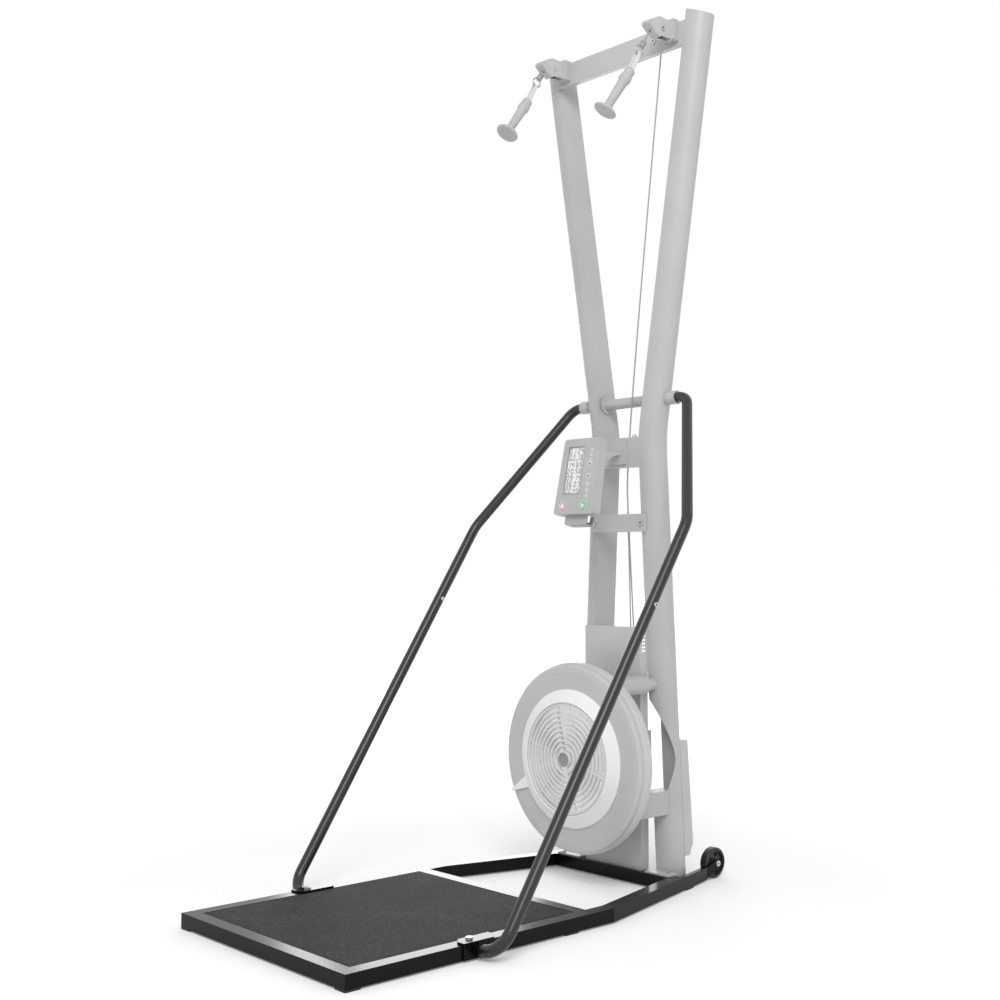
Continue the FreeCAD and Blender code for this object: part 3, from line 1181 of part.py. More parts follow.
def console_front():
    plate = prism_xz(console_outline(0), 0, BEZEL_THICKNESS)
    corners = [e for e in plate.Edges if abs(e.Vertexes[0].Y - e.Vertexes[-1].Y) > 1]
    plate = plate.makeFillet(7.0, corners)
    ledge = LENS_LEDGE
    window = box(LENS_LEFT + ledge, LENS_RIGHT - ledge, -1, BEZEL_THICKNESS + 1,
                 LENS_BOTTOM + ledge, LENS_TOP - ledge)
    pocket = box(LENS_LEFT - 0.1, LENS_RIGHT + 0.1, -1, LENS_THICKNESS, LENS_BOTTOM - 0.1, LENS_TOP + 0.1)
    plate = plate.cut(window).cut(pocket)
    for name, x, z, radius in button_places():
        plate = plate.cut(rod_y(radius + BUTTON_GAP, -1, BEZEL_THICKNESS + 1, x, z))
    return on_console(plate)


def console_lens():
    return on_console(box(LENS_LEFT, LENS_RIGHT, 0.4, LENS_THICKNESS, LENS_BOTTOM, LENS_TOP))


def button(x, z, radius):
    front = -BUTTON_PROUD
    back = BEZEL_THICKNESS + FIT_GAP
    cap = rod_y(radius, front, back + 1, x, z)
    cap = cap.makeFillet(1.0, [e for e in cap.Edges if len(e.Vertexes) == 1 and e.Vertexes[0].Y < 0])
    flange = rod_y(radius + BUTTON_FLANGE, back, back + 1.2, x, z)
    return on_console(joined([cap, flange]))


def console_back():
    w = CONSOLE_WALL
    shell = prism_xz(console_outline(0), BEZEL_THICKNESS, CONSOLE_DEPTH)
    corners = [e for e in shell.Edges if abs(e.Vertexes[0].Y - e.Vertexes[-1].Y) > 1]
    shell = shell.makeFillet(7.0, corners)
    hollow = prism_xz(console_outline(w), BEZEL_THICKNESS - 1, CONSOLE_DEPTH - w)
    shell = shell.cut(hollow)
    ears = []
    for side in (-1, 1):
        x0 = side * (HINGE_HALF_WIDTH + FIT_GAP)
        x1 = x0 + side * HINGE_EAR
        low, high = min(x0, x1), max(x0, x1)
        y = CONSOLE_DEPTH + HINGE_BACK
        web = box(low, high, CONSOLE_DEPTH - 0.5, y, -HINGE_RADIUS, HINGE_RADIUS)
        ears.append(web.fuse(rod_x(HINGE_RADIUS, low, high, y, 0)))
    body = joined([shell] + ears)
    bore = rod_x(HINGE_PIN_RADIUS + RUNNING_GAP, -60, 60, CONSOLE_DEPTH + HINGE_BACK, 0)
    return on_console(body.cut(bore))


def hinge_point():
    point = V(0, CONSOLE_DEPTH + HINGE_BACK, 0)
    marker = Part.Vertex(point)
    return on_console(marker).Point


def console_arm():
    hinge = hinge_point()
    knuckle = rod_x(HINGE_RADIUS, -HINGE_HALF_WIDTH, HINGE_HALF_WIDTH, hinge.y, hinge.z)
    reach = HINGE_HALF_WIDTH + FIT_GAP + HINGE_EAR + 1
    pin = rod_x(HINGE_PIN_RADIUS, -reach, reach, hinge.y, hinge.z)
    foot_y = COLUMN_FRONT_Y
    foot_z = (CONSOLE_PLATE_BOTTOM_Z + CONSOLE_PLATE_TOP_Z) / 2
    foot = box(-26, 26, foot_y - SHEET, foot_y, CONSOLE_PLATE_BOTTOM_Z + 8, CONSOLE_PLATE_TOP_Z - 8)
    half = ARM_BAR_THICKNESS / 2
    bend_y = (hinge.y + foot_y) / 2 + 20
    outline = [(hinge.y, hinge.z - half), (bend_y, foot_z - half - 6), (foot_y - 1, foot_z - half)]
    outline += [(foot_y - 1, foot_z + half), (bend_y - 4, foot_z + half - 6), (hinge.y, hinge.z + half)]
    bar = prism_yz(outline, -ARM_BAR_WIDTH / 2, ARM_BAR_WIDTH / 2)
    return joined([knuckle, pin, foot, bar])


def phone_holder():
    """An open tray under the console that holds a phone or tablet upright."""
    top = -CONSOLE_HEIGHT / 2
    base = top - HOLDER_HEIGHT
    y0 = HOLDER_SETBACK
    y1 = y0 + HOLDER_DEPTH
    half = HOLDER_HALF_WIDTH
    w = HOLDER_WALL
    lip = box(-half, half, y0, y0 + w, base, top)
    floor = box(-half, half, y0, y1, base, base + w)
    back = box(-half, half, y1 - w, y1, base, top)
    back = back.cut(box(-half + HOLDER_CUT_SIDE, half - HOLDER_CUT_SIDE, y1 - 2 * w, y1 + 1,
                        top - HOLDER_CUT_DEPTH, top + 1))
    outline = box(-half, half, y0, y1, base, top)
    low = [e for e in outline.Edges if e.Vertexes[0].Z < base + 1]
    low = [e for e in low if abs(e.Vertexes[0].Y - e.Vertexes[-1].Y) > 1]
    outline = outline.makeFillet(HOLDER_CORNER, low)
    return on_console(joined([lip, floor, back]).common(outline))


# Bolts: every visible fixing, and the wheel axles.
def bolt(point, direction, length):
    shank = Part.makeCylinder(BOLT_RADIUS, length, point, direction)
    start = point - direction * BOLT_HEAD_HEIGHT
    head = Part.makeCylinder(BOLT_HEAD_RADIUS, BOLT_HEAD_HEIGHT, start, direction)
    return shank.fuse(head).removeSplitter()


def bolts():
    down = V(0, 0, -1)
    bracket_top = STAND_TOP + RAIL_BRACKET_THICKNESS
    items = [both_sides(bolt(V(RAIL_BOLT_X, RAIL_BOLT_Y, bracket_top), down, RAIL_BRACKET_THICKNESS + 8))]
    clamp_top = STAND_TOP + SHEET
    items.append(both_sides(bolt(V(CLAMP_BOLT_X, CLAMP_BOLT_Y, clamp_top), down, SHEET + 8)))
    bar_front = COLUMN_FRONT_Y - CROSSBAR_THICKNESS
    bar_z = (CROSSBAR_BOTTOM_Z + CROSSBAR_TOP_Z) / 2
    items.append(both_sides(bolt(V(CROSSBAR_BOLT_X, bar_front, bar_z), V(0, 1, 0), CROSSBAR_THICKNESS + 8)))
    seam = seam_bolt_point()
    reach = RAIL_RADIUS
    pin = rod_x(BOLT_RADIUS - 1, seam.x - reach, seam.x + reach, seam.y, seam.z)
    head = rod_x(BOLT_HEAD_RADIUS - 2, seam.x + reach, seam.x + reach + 3, seam.y, seam.z)
    nut = rod_x(BOLT_HEAD_RADIUS - 2, seam.x - reach - 3, seam.x - reach, seam.y, seam.z)
    items.append(both_sides(joined([pin, head, nut])))
    face = AXLE_STRIP_FACE_X + AXLE_STRIP_THICKNESS
    wheel_inner = AXLE_STRIP_FACE_X - WHEEL_SIDE_GAP - WHEEL_WIDTH
    pin = rod_x(AXLE_RADIUS, wheel_inner - 1, face, WHEEL_Y, WHEEL_Z)
    head = rod_x(AXLE_RADIUS + 3, face, face + 3, WHEEL_Y, WHEEL_Z)
    nut = rod_x(AXLE_RADIUS + 3, wheel_inner - 4, wheel_inner - 0.5, WHEEL_Y, WHEEL_Z)
    items.append(both_sides(joined([pin, head, nut])))
    items.append(rod_z(5.0, CONSOLE_PLATE_TOP_Z, CONSOLE_PLATE_TOP_Z + 7, 45, COLUMN_FRONT_Y + 9))
    return Part.makeCompound(items)


def nodes():
    front_half = HALF_WIDTH
    rail = side_rail()
    lower = handrail_lower()
    upper = handrail_upper()
    post = column()
    fixings = Part.makeCompound([bolts(), pulley_axles()])
    shapes = {
        "front_cross_tube": cross_tube(front_half, front_half, 0, True),
        "middle_cross_tube": middle_tube(),
        "rear_cross_tube": rear_cross_tube(),
        "left_side_rail": mirrored(rail),
        "right_side_rail": rail,
        "tail_plates": both_sides(tail_plate()),
        "deck_board": deck_board(),
        "rubber_mat": rubber_mat(),
        "rubber_feet": foot_pads(),
        "handrail_brackets": both_sides(handrail_bracket()),
        "left_handrail_lower": mirrored(lower),
        "right_handrail_lower": lower,
        "left_handrail_upper": mirrored(upper),
        "right_handrail_upper": upper,
        "bolts_and_axles": fixings,
        "tower_base_plate": base_plate(),
        "tower_clamps": both_sides(tower_clamp()),
        "left_column": mirrored(post),
        "right_column": post,
        "column_stiffeners": both_sides(column_stiffener()),
        "top_crossbeam": top_crossbeam(),
        "pulley_brackets": both_sides(pulley_bracket()),
        "nose_bumpers": both_sides(nose_bumper()),
        "handrail_cross_tube": handrail_cross_tube(),
        "console_plate": console_plate(),
        "lower_crossbar": lower_crossbar(),
        "console_arm": console_arm(),
        "front_cover": front_cover(),
        "drive_box": drive_box(),
        "fan_front_shell": front_shell(),
        "fan_rear_shell": rear_shell(),
        "fan_grille": grille(),
        "shaft_bearings": bearings(),
        "fan_struts": fan_struts(),
        "drive_cords": drive_cords(),
        "left_wheel": mirrored(wheel()),
        "right_wheel": wheel(),
        "left_top_pulley": top_pulley(-1),
        "right_top_pulley": top_pulley(1),
        "left_turn_pulley": turn_pulley(-1),
        "right_turn_pulley": turn_pulley(1),
        "left_spool": spool(-1),
        "right_spool": spool(1),
        "fan_rotor": fan_rotor(),
        "flywheel_shaft": shaft(),
        "damper_ring": damper_ring(),
        "console_back": console_back(),
        "console_front": console_front(),
        "console_lens": console_lens(),
        "phone_holder": phone_holder(),
        "left_swivel": swivel(-1),
        "right_swivel": swivel(1),
        "left_strap": strap(-1),
        "right_strap": strap(1),
        "left_handle": grip(-1),
        "right_handle": grip(1),
    }
    for name, x, z, radius in button_places():
        shapes[name] = button(x, z, radius)
    return shapes


os.makedirs("parts", exist_ok=True)
for name, shape in nodes().items():
    shape.translate(V(0, -HALF_LENGTH, 0))
    if not shape.isValid():
        print("not valid:", name)
    shape.exportStep("parts/" + name + ".step")
    print(name, len(shape.Solids), "solids", round(shape.Volume))
for side in (-1, 1):
    wire, arcs = rounded_route(cord_route(side), CORD_BENDS)
    print("drive cord length", round(wire.Length), "bends", CORD_BENDS)
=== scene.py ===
import math

import bmesh
import bpy
import numpy as np
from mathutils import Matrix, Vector


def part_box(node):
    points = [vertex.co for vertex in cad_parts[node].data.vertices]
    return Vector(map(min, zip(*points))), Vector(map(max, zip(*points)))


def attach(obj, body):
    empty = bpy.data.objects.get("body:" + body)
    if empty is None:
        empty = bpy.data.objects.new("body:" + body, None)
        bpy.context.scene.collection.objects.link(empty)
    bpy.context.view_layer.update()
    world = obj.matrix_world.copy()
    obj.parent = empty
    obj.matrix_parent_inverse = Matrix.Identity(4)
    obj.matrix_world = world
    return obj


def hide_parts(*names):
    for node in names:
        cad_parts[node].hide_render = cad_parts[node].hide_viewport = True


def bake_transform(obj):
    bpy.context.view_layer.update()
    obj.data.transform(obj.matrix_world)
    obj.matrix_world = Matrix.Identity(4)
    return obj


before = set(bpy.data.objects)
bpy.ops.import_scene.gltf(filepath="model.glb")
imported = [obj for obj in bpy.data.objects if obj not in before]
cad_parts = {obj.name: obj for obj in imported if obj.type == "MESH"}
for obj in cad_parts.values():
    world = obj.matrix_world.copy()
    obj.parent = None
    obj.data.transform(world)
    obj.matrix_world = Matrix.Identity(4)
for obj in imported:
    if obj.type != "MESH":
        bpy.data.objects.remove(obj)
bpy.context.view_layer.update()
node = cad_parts


# The view: a camera at the platform's front right corner, at hip height, 3.2 m from the middle of the machine.
# Its place and lens come from the lines of the platform, the tower and the handrails in the photo.
scene = bpy.context.scene
scene.view_settings.view_transform = "Standard"
lens = bpy.data.cameras.new("view_camera")
lens.lens = 49.08
lens.sensor_width = 36
camera = bpy.data.objects.new("view_camera", lens)
camera.location = (2.36616, -2.12481, 0.78397)
camera.rotation_euler = (math.radians(92.71), 0, math.radians(47.75))
scene.collection.objects.link(camera)
scene.camera = camera


# The studio: an even white room, a white floor that keeps a soft shadow, a broad lamp high over the platform's
# right corner and a low one behind at the left, which draws the sheen along the flat tops. Only the camera,
# mirrors and clear pieces see the room at full white, and only they see the floor's own glow.
def linear(colour):
    """Turns an sRGB hex colour to linear values, with an alpha of 1."""
    c = np.array([int(colour[k:k + 2], 16) for k in (1, 3, 5)]) / 255
    return (*np.where(c <= 0.04045, c / 12.92, ((c + 0.055) / 1.055) ** 2.4), 1.0)


def feed(tree, made, inputs):
    """Gives each input of a node a value, or the output of another node to link to."""
    for name, value in inputs.items():
        if isinstance(value, bpy.types.NodeSocket):
            tree.links.new(value, made.inputs[name])
        else:
            made.inputs[name].default_value = value


def add(tree, kind, inputs=None, **settings):
    """Adds a node with its settings and its inputs."""
    made = tree.nodes.new(kind)
    for name, value in settings.items():
        setattr(made, name, value)
    feed(tree, made, inputs or {})
    return made


def seen_directly(tree):
    """1 for a ray from the camera, a mirror or a clear piece, and 0 for the rays that light the machine."""
    ray = add(tree, "ShaderNodeLightPath").outputs
    straight = add(tree, "ShaderNodeMath", {0: ray["Is Camera Ray"], 1: ray["Is Transmission Ray"]},
                   operation="MAXIMUM")
    seen = add(tree, "ShaderNodeMath", {0: straight.outputs[0], 1: ray["Is Glossy Ray"]}, operation="MAXIMUM")
    return seen.outputs[0]


room_light = 0.62
room = bpy.data.worlds.new("white_room")
room.use_nodes = True
scene.world = room
sky = room.node_tree
sky.nodes.clear()
level = add(sky, "ShaderNodeMapRange", {"Value": seen_directly(sky), "To Min": room_light, "To Max": 1.0})
glow = add(sky, "ShaderNodeBackground", {"Color": linear("#ffffff"), "Strength": level.outputs[0]})
add(sky, "ShaderNodeOutputWorld", {"Surface": glow.outputs[0]})


def lamp(name, place, target, size, watts):
    """A square soft lamp at a place, turned to a target."""
    data = bpy.data.lights.new(name, "AREA")
    data.size = size
    data.energy = watts
    made = bpy.data.objects.new(name, data)
    made.location = place
    made.rotation_euler = (Vector(target) - Vector(place)).to_track_quat("-Z", "Y").to_euler()
    scene.collection.objects.link(made)


lamp("broad_lamp", place=(3.1, -2.6, 4.0), target=(0, 0.1, 0.9), size=2.4, watts=135)
lamp("back_lamp", place=(-3.9, 3.3, 1.5), target=(0, -0.1, 0.2), size=2.2, watts=55)

floor_half = 30
glow_starts, glow_full = 0.9, 4.0
near_glow, far_glow = 0.12, 0.55
floor_mesh = bpy.data.meshes.new("floor")
floor_corners = [(-floor_half, -floor_half, 0), (floor_half, -floor_half, 0), (floor_half, floor_half, 0),
                 (-floor_half, floor_half, 0)]
floor_mesh.from_pydata(floor_corners, [], [(0, 1, 2, 3)])
floor = bpy.data.objects.new("floor", floor_mesh)
scene.collection.objects.link(floor)
white_floor = bpy.data.materials.new("white studio floor")
white_floor.use_nodes = True
tree = white_floor.node_tree
tree.nodes.clear()
matt = add(tree, "ShaderNodeBsdfDiffuse", {"Color": linear("#fafafa")})
floor_place = add(tree, "ShaderNodeTexCoord").outputs["Object"]
away = add(tree, "ShaderNodeVectorMath", {0: floor_place}, operation="LENGTH")
far = add(tree, "ShaderNodeMapRange", {"Value": away.outputs["Value"], "From Min": glow_starts,
                                       "From Max": glow_full, "To Min": near_glow, "To Max": far_glow})
glowing = add(tree, "ShaderNodeMath", {0: far.outputs[0], 1: seen_directly(tree)}, operation="MULTIPLY")
shine = add(tree, "ShaderNodeEmission", {"Color": linear("#ffffff"), "Strength": glowing.outputs[0]})
both = add(tree, "ShaderNodeAddShader", {0: matt.outputs[0], 1: shine.outputs[0]})
add(tree, "ShaderNodeOutputMaterial", {"Surface": both.outputs[0]})
floor_mesh.materials.append(white_floor)


# The stand's tubes: rectangular steel tube, welded, under a fine textured black powder coat. The flat tops
# mirror the white room at a low angle, so they read grey, and the upright sides read almost black.
def begin_material(name):
    """An empty node material with its shader and a place to read patterns from, in metres on the object."""
    made = bpy.data.materials.new(name)
    made.use_nodes = True
    tree = made.node_tree
    tree.nodes.clear()
    shader = add(tree, "ShaderNodeBsdfPrincipled")
    add(tree, "ShaderNodeOutputMaterial", {"Surface": shader.outputs[0]})
    place = add(tree, "ShaderNodeTexCoord").outputs["Object"]
    return made, tree, shader, place


def paint(node_names, material):
    """Gives CAD nodes a material in place of the one they came with."""
    for name in node_names:
        mesh = node[name].data
        mesh.materials.clear()
        mesh.materials.append(material)


def tune(material, settings):
    """Sets plain values on a material's shader."""
    feed(material.node_tree, material.node_tree.nodes["Principled BSDF"], settings)


def powder_coat(name, colour, thin_colour, grain, roughness, bump):
    """Powder coat: orange peel of one grain size in metres, a slow change of tone and soft edges."""
    made, tree, shader, place = begin_material(name)
    patch_size, edge_round, peel_height = 0.16, 0.0009, 0.0002
    slow = add(tree, "ShaderNodeTexNoise", {"Vector": place, "Scale": 1 / patch_size, "Detail": 3.0})
    peel = add(tree, "ShaderNodeTexNoise", {"Vector": place, "Scale": 1 / grain, "Detail": 2.0})
    shift = add(tree, "ShaderNodeMapRange", {"Value": slow.outputs[0], "From Min": 0.35, "From Max": 0.65})
    tone = add(tree, "ShaderNodeMix", {0: shift.outputs[0], 6: linear(colour), 7: linear(thin_colour)},
               data_type="RGBA")
    gloss = add(tree, "ShaderNodeMapRange", {"Value": peel.outputs[0], "To Min": roughness - 0.05,
                                             "To Max": roughness + 0.07})
    edge = add(tree, "ShaderNodeBevel", {"Radius": edge_round}, samples=4)
    skin = add(tree, "ShaderNodeBump", {"Height": peel.outputs[0], "Strength": bump, "Distance": peel_height,
                                        "Normal": edge.outputs[0]})
    feed(tree, shader, {"Base Color": tone.outputs[2], "Roughness": gloss.outputs[0],
                        "Normal": skin.outputs[0]})
    return made


stand_coat = powder_coat("black powder coat", "#080809", "#0c0c0d", 0.0013, 0.18, 0.04)
tune(stand_coat, {"Specular IOR Level": 0.14})
paint(["front_cross_tube", "middle_cross_tube", "rear_cross_tube", "left_side_rail", "right_side_rail",
       "tail_plates", "handrail_brackets", "tower_base_plate"], stand_coat)


# The mat: a 4 mm sheet of black granulated rubber let into the platform's frame. Pale and dark grains of about
# 2 mm lie pressed flat in it, so the surface is evenly speckled and dull, with a softly rounded edge.
def put(name, points, faces, body, material, smooth=True):
    """Makes a piece from points and faces, and lets it ride on a body where one is named."""
    mesh = bpy.data.meshes.new(name)
    corners = np.asarray(points, float).reshape(-1, 3).tolist()
    mesh.from_pydata(corners, [], [tuple(map(int, face)) for face in faces])
    mesh.polygons.foreach_set("use_smooth", np.full(len(mesh.polygons), smooth))
    mesh.materials.append(material)
    mesh.update()
    piece = bpy.data.objects.new(name, mesh)
    scene.collection.objects.link(piece)
    if body:
        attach(piece, body)
    return piece


def grid_faces(rows, columns, closed=False):
    """Quads between a grid's neighbouring points. A closed grid joins its last column to its first."""
    r, c = np.meshgrid(np.arange(rows - 1), np.arange(columns if closed else columns - 1), indexing="ij")
    after = (c + 1) % columns
    low_row, high_row = r * columns, (r + 1) * columns
    quads = np.stack([low_row + c, low_row + after, high_row + after, high_row + c], -1)
    return quads.reshape(-1, 4)


def granulate(name, base, pale, grain, roughness, share, bump):
    """Pressed rubber granules: cells of one grain size, a few of them paler, each standing a little proud."""
    made, tree, shader, place = begin_material(name)
    cells = add(tree, "ShaderNodeTexVoronoi", {"Vector": place, "Scale": 1 / grain})
    patch_size, grain_height = 0.09, 0.0004
    wide = add(tree, "ShaderNodeTexNoise", {"Vector": place, "Scale": 1 / patch_size, "Detail": 4.0})
    lone = add(tree, "ShaderNodeSeparateColor", {0: cells.outputs["Color"]})
    chosen = add(tree, "ShaderNodeMapRange", {"Value": lone.outputs[0], "From Min": 1 - share,
                                              "From Max": 1.0})
    worn = add(tree, "ShaderNodeMath", {0: chosen.outputs[0], 1: wide.outputs[0]}, operation="MULTIPLY")
    tone = add(tree, "ShaderNodeMix", {0: worn.outputs[0], 6: linear(base), 7: linear(pale)}, data_type="RGBA")
    skin = add(tree, "ShaderNodeBump", {"Height": cells.outputs["Distance"], "Strength": bump,
                                        "Distance": grain_height})
    feed(tree, shader, {"Base Color": tone.outputs[2], "Roughness": roughness, "Normal": skin.outputs[0]})
    return made


mat_rubber = granulate("granulated rubber", "#272728", "#626263", 0.0017, 0.8, 0.6, 0.45)
tune(mat_rubber, {"Specular IOR Level": 0.15})
low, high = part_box("rubber_mat")
edge_radius, edge_steps, flat_from = 0.0016, np.linspace(0, np.pi / 2, 5)[1:], 0.02
across = np.concatenate([[0, 0], edge_radius * (1 - np.cos(edge_steps)), [flat_from]])
drop = np.concatenate([[high.z - low.z, edge_radius], edge_radius * (1 - np.sin(edge_steps)), [0]])
spread_x = np.concatenate([low.x + across, (high.x - across)[::-1]])
spread_y = np.concatenate([low.y + across, (high.y - across)[::-1]])
drop_line = np.concatenate([drop, drop[::-1]])
mat_x, mat_y = np.meshgrid(spread_x, spread_y, indexing="ij")
mat_z = high.z - np.maximum.outer(drop_line, drop_line)
rows, columns = mat_x.shape
mat_top = np.stack([mat_x, mat_y, mat_z], -1).reshape(-1, 3)
loop = np.concatenate([np.arange(columns), np.arange(1, rows) * columns + columns - 1,
                       np.arange(columns - 2, -1, -1) + (rows - 1) * columns,
                       np.arange(rows - 2, 0, -1) * columns])
mat_faces = [tuple(f) for f in grid_faces(rows, columns)[:, ::-1]] + [tuple(loop)]
mat = put("platform_mat", mat_top, mat_faces, "frame", mat_rubber)
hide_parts("rubber_mat")


# The board under the mat: 14 mm film-faced plywood. Only its edges and underside show, with thin pale and dark
# layers along the edge and a dark phenolic film below.
wave_repeat = math.pi / 10  # A wave texture of scale 1 repeats after this length.
layer_repeat = 0.0055269
plywood, tree, shader, place = begin_material("film-faced plywood")
layers = add(tree, "ShaderNodeTexWave", {"Vector": place, "Scale": wave_repeat / layer_repeat,
                                         "Distortion": 0.6, "Detail": 2.0, "Detail Scale": 3.0},
             bands_direction="Z")
fibre = add(tree, "ShaderNodeTexNoise", {"Vector": place, "Scale": 1 / 0.004, "Detail": 5.0})
layer_tone = add(tree, "ShaderNodeMix", {0: layers.outputs["Fac"], 6: linear("#2e2823"), 7: linear("#4a4038")},
                 data_type="RGBA")
grain_tone = add(tree, "ShaderNodeMix", {0: fibre.outputs[0], 6: layer_tone.outputs[2], 7: linear("#231f1c")},
                 data_type="RGBA")
film = add(tree, "ShaderNodeBump", {"Height": fibre.outputs[0], "Strength": 0.2, "Distance": 0.0003})
feed(tree, shader, {"Base Color": grain_tone.outputs[2], "Roughness": 0.55, "Normal": film.outputs[0]})
paint(["deck_board"], plywood)


# The feet: moulded black rubber pads under the tubes, matt, with a slightly dusty bloom.
def rubber(name, colour, bloom, grain, roughness, bump):
    """Moulded rubber: a grained skin with a pale bloom that gathers in soft patches."""
    made, tree, shader, place = begin_material(name)
    skin_grain = add(tree, "ShaderNodeTexNoise", {"Vector": place, "Scale": 1 / grain, "Detail": 3.0})
    patch_size, edge_round = 0.05, 0.0006
    patch = add(tree, "ShaderNodeTexNoise", {"Vector": place, "Scale": 1 / patch_size, "Detail": 4.0})
    spread = add(tree, "ShaderNodeMapRange", {"Value": patch.outputs[0], "From Min": 0.42, "From Max": 0.78})
    tone = add(tree, "ShaderNodeMix", {0: spread.outputs[0], 6: linear(colour), 7: linear(bloom)},
               data_type="RGBA")
    edge = add(tree, "ShaderNodeBevel", {"Radius": edge_round}, samples=4)
    skin = add(tree, "ShaderNodeBump", {"Height": skin_grain.outputs[0], "Strength": bump, "Distance": 0.0003,
                                        "Normal": edge.outputs[0]})
    feed(tree, shader, {"Base Color": tone.outputs[2], "Roughness": roughness, "Normal": skin.outputs[0]})
    return made


paint(["rubber_feet"], rubber("moulded black rubber", "#19191a", "#2c2b2a", 0.0011, 0.72, 0.3))


# The handrails: 26 mm round steel tube in a smooth satin black coat, each side in two bent lengths joined by an
# inner sleeve and one through bolt. The coat shows a long soft highlight along every run.
rail_coat = powder_coat("satin black tube coat", "#0f0f10", "#151516", 0.0014, 0.30, 0.02)
tune(rail_coat, {"Specular IOR Level": 0.6})
paint(["left_handrail_lower", "right_handrail_lower", "left_handrail_upper", "right_handrail_upper"], rail_coat)


# The tower: two deep D-section columns, the crossbeam, plates, tubes and struts between them, powder coated in
# a pale satin grey. The plates are a shade lighter and a little duller than the columns and tubes.
tower_coat = powder_coat("pale grey powder coat", "#b4b4b5", "#bababb", 0.0018, 0.34, 0.12)
paint(["left_column", "right_column", "handrail_cross_tube", "fan_struts"], tower_coat)
plate_coat = powder_coat("grey plate coat", "#b9b9ba", "#c0c0c1", 0.0018, 0.42, 0.12)
paint(["column_stiffeners", "top_crossbeam", "pulley_brackets", "console_plate", "lower_crossbar",
       "tower_clamps", "console_arm"], plate_coat)


# The covers: ABS mouldings with a fine spark-eroded grain. The front cover and the box round the cord spools
# are pale grey, the fan's two shells a shade paler, and its damper ring and nylon grille nearly white.
def moulded(name, colour, second, grain, roughness, bump, edge_width=0.0007):
    """Moulded plastic: spark-eroded grain of one size in metres, with faint flow patches and rounded edges."""
    made, tree, shader, place = begin_material(name)
    flow_size, pit_depth = 0.11, 0.00015
    pits = add(tree, "ShaderNodeTexNoise", {"Vector": place, "Scale": 1 / grain, "Detail": 2.0,
                                            "Roughness": 0.7})
    flow = add(tree, "ShaderNodeTexNoise", {"Vector": place, "Scale": 1 / flow_size, "Detail": 2.0})
    mixing = add(tree, "ShaderNodeMapRange", {"Value": flow.outputs[0], "From Min": 0.35, "From Max": 0.65})
    tone = add(tree, "ShaderNodeMix", {0: mixing.outputs[0], 6: linear(colour), 7: linear(second)},
               data_type="RGBA")
    gloss = add(tree, "ShaderNodeMapRange", {"Value": pits.outputs[0], "To Min": roughness - 0.06,
                                             "To Max": roughness + 0.08})
    edge = add(tree, "ShaderNodeBevel", {"Radius": edge_width}, samples=4)
    skin = add(tree, "ShaderNodeBump", {"Height": pits.outputs[0], "Strength": bump, "Distance": pit_depth,
                                        "Normal": edge.outputs[0]})
    feed(tree, shader, {"Base Color": tone.outputs[2], "Roughness": gloss.outputs[0],
                        "Normal": skin.outputs[0]})
    return made


paint(["front_cover", "drive_box"], moulded("grey ABS", "#bebebf", "#c4c4c5", 0.0009, 0.5, 0.35))
paint(["fan_front_shell", "fan_rear_shell"], moulded("pale grey ABS", "#c3c3c4", "#c9c9ca", 0.0009, 0.48, 0.35))
paint(["damper_ring"], moulded("silver white ABS", "#f4f4f4", "#f8f8f8", 0.0008, 0.34, 0.2))
paint(["fan_grille"], moulded("light grey nylon", "#e2e2e3", "#e8e8e8", 0.0008, 0.42, 0.25))
paint(["nose_bumpers"], rubber("grey moulded rubber", "#b9b9ba", "#c4c4c5", 0.0011, 0.6, 0.3))


# The bolts and axles: zinc plated steel with fine scratches and a slightly yellow cast.
def metal(name, colour, dull, grain, roughness, bump):
    """Bare or plated metal: fine scratches of one size in metres over a slow change of tone."""
    made, tree, shader, place = begin_material(name)
    cloud_size, edge_round, scratch_depth = 0.03, 0.0004, 0.0001
    scratch = add(tree, "ShaderNodeTexNoise", {"Vector": place, "Scale": 1 / grain, "Detail": 3.0})
    cloud = add(tree, "ShaderNodeTexNoise", {"Vector": place, "Scale": 1 / cloud_size, "Detail": 2.0})
    tone = add(tree, "ShaderNodeMix", {0: cloud.outputs[0], 6: linear(colour), 7: linear(dull)},
               data_type="RGBA")
    gloss = add(tree, "ShaderNodeMapRange", {"Value": scratch.outputs[0], "To Min": roughness - 0.08,
                                             "To Max": roughness + 0.12})
    edge = add(tree, "ShaderNodeBevel", {"Radius": edge_round}, samples=4)
    skin = add(tree, "ShaderNodeBump", {"Height": scratch.outputs[0], "Strength": bump,
                                        "Distance": scratch_depth, "Normal": edge.outputs[0]})
    feed(tree, shader, {"Base Color": tone.outputs[2], "Roughness": gloss.outputs[0], "Normal": skin.outputs[0],
                        "Metallic": 1.0})
    return made


zinc = metal("zinc plated steel", "#d9d8d5", "#c3c2bf", 0.0012, 0.34, 0.15)
paint(["bolts_and_axles", "flywheel_shaft", "shaft_bearings"], zinc)


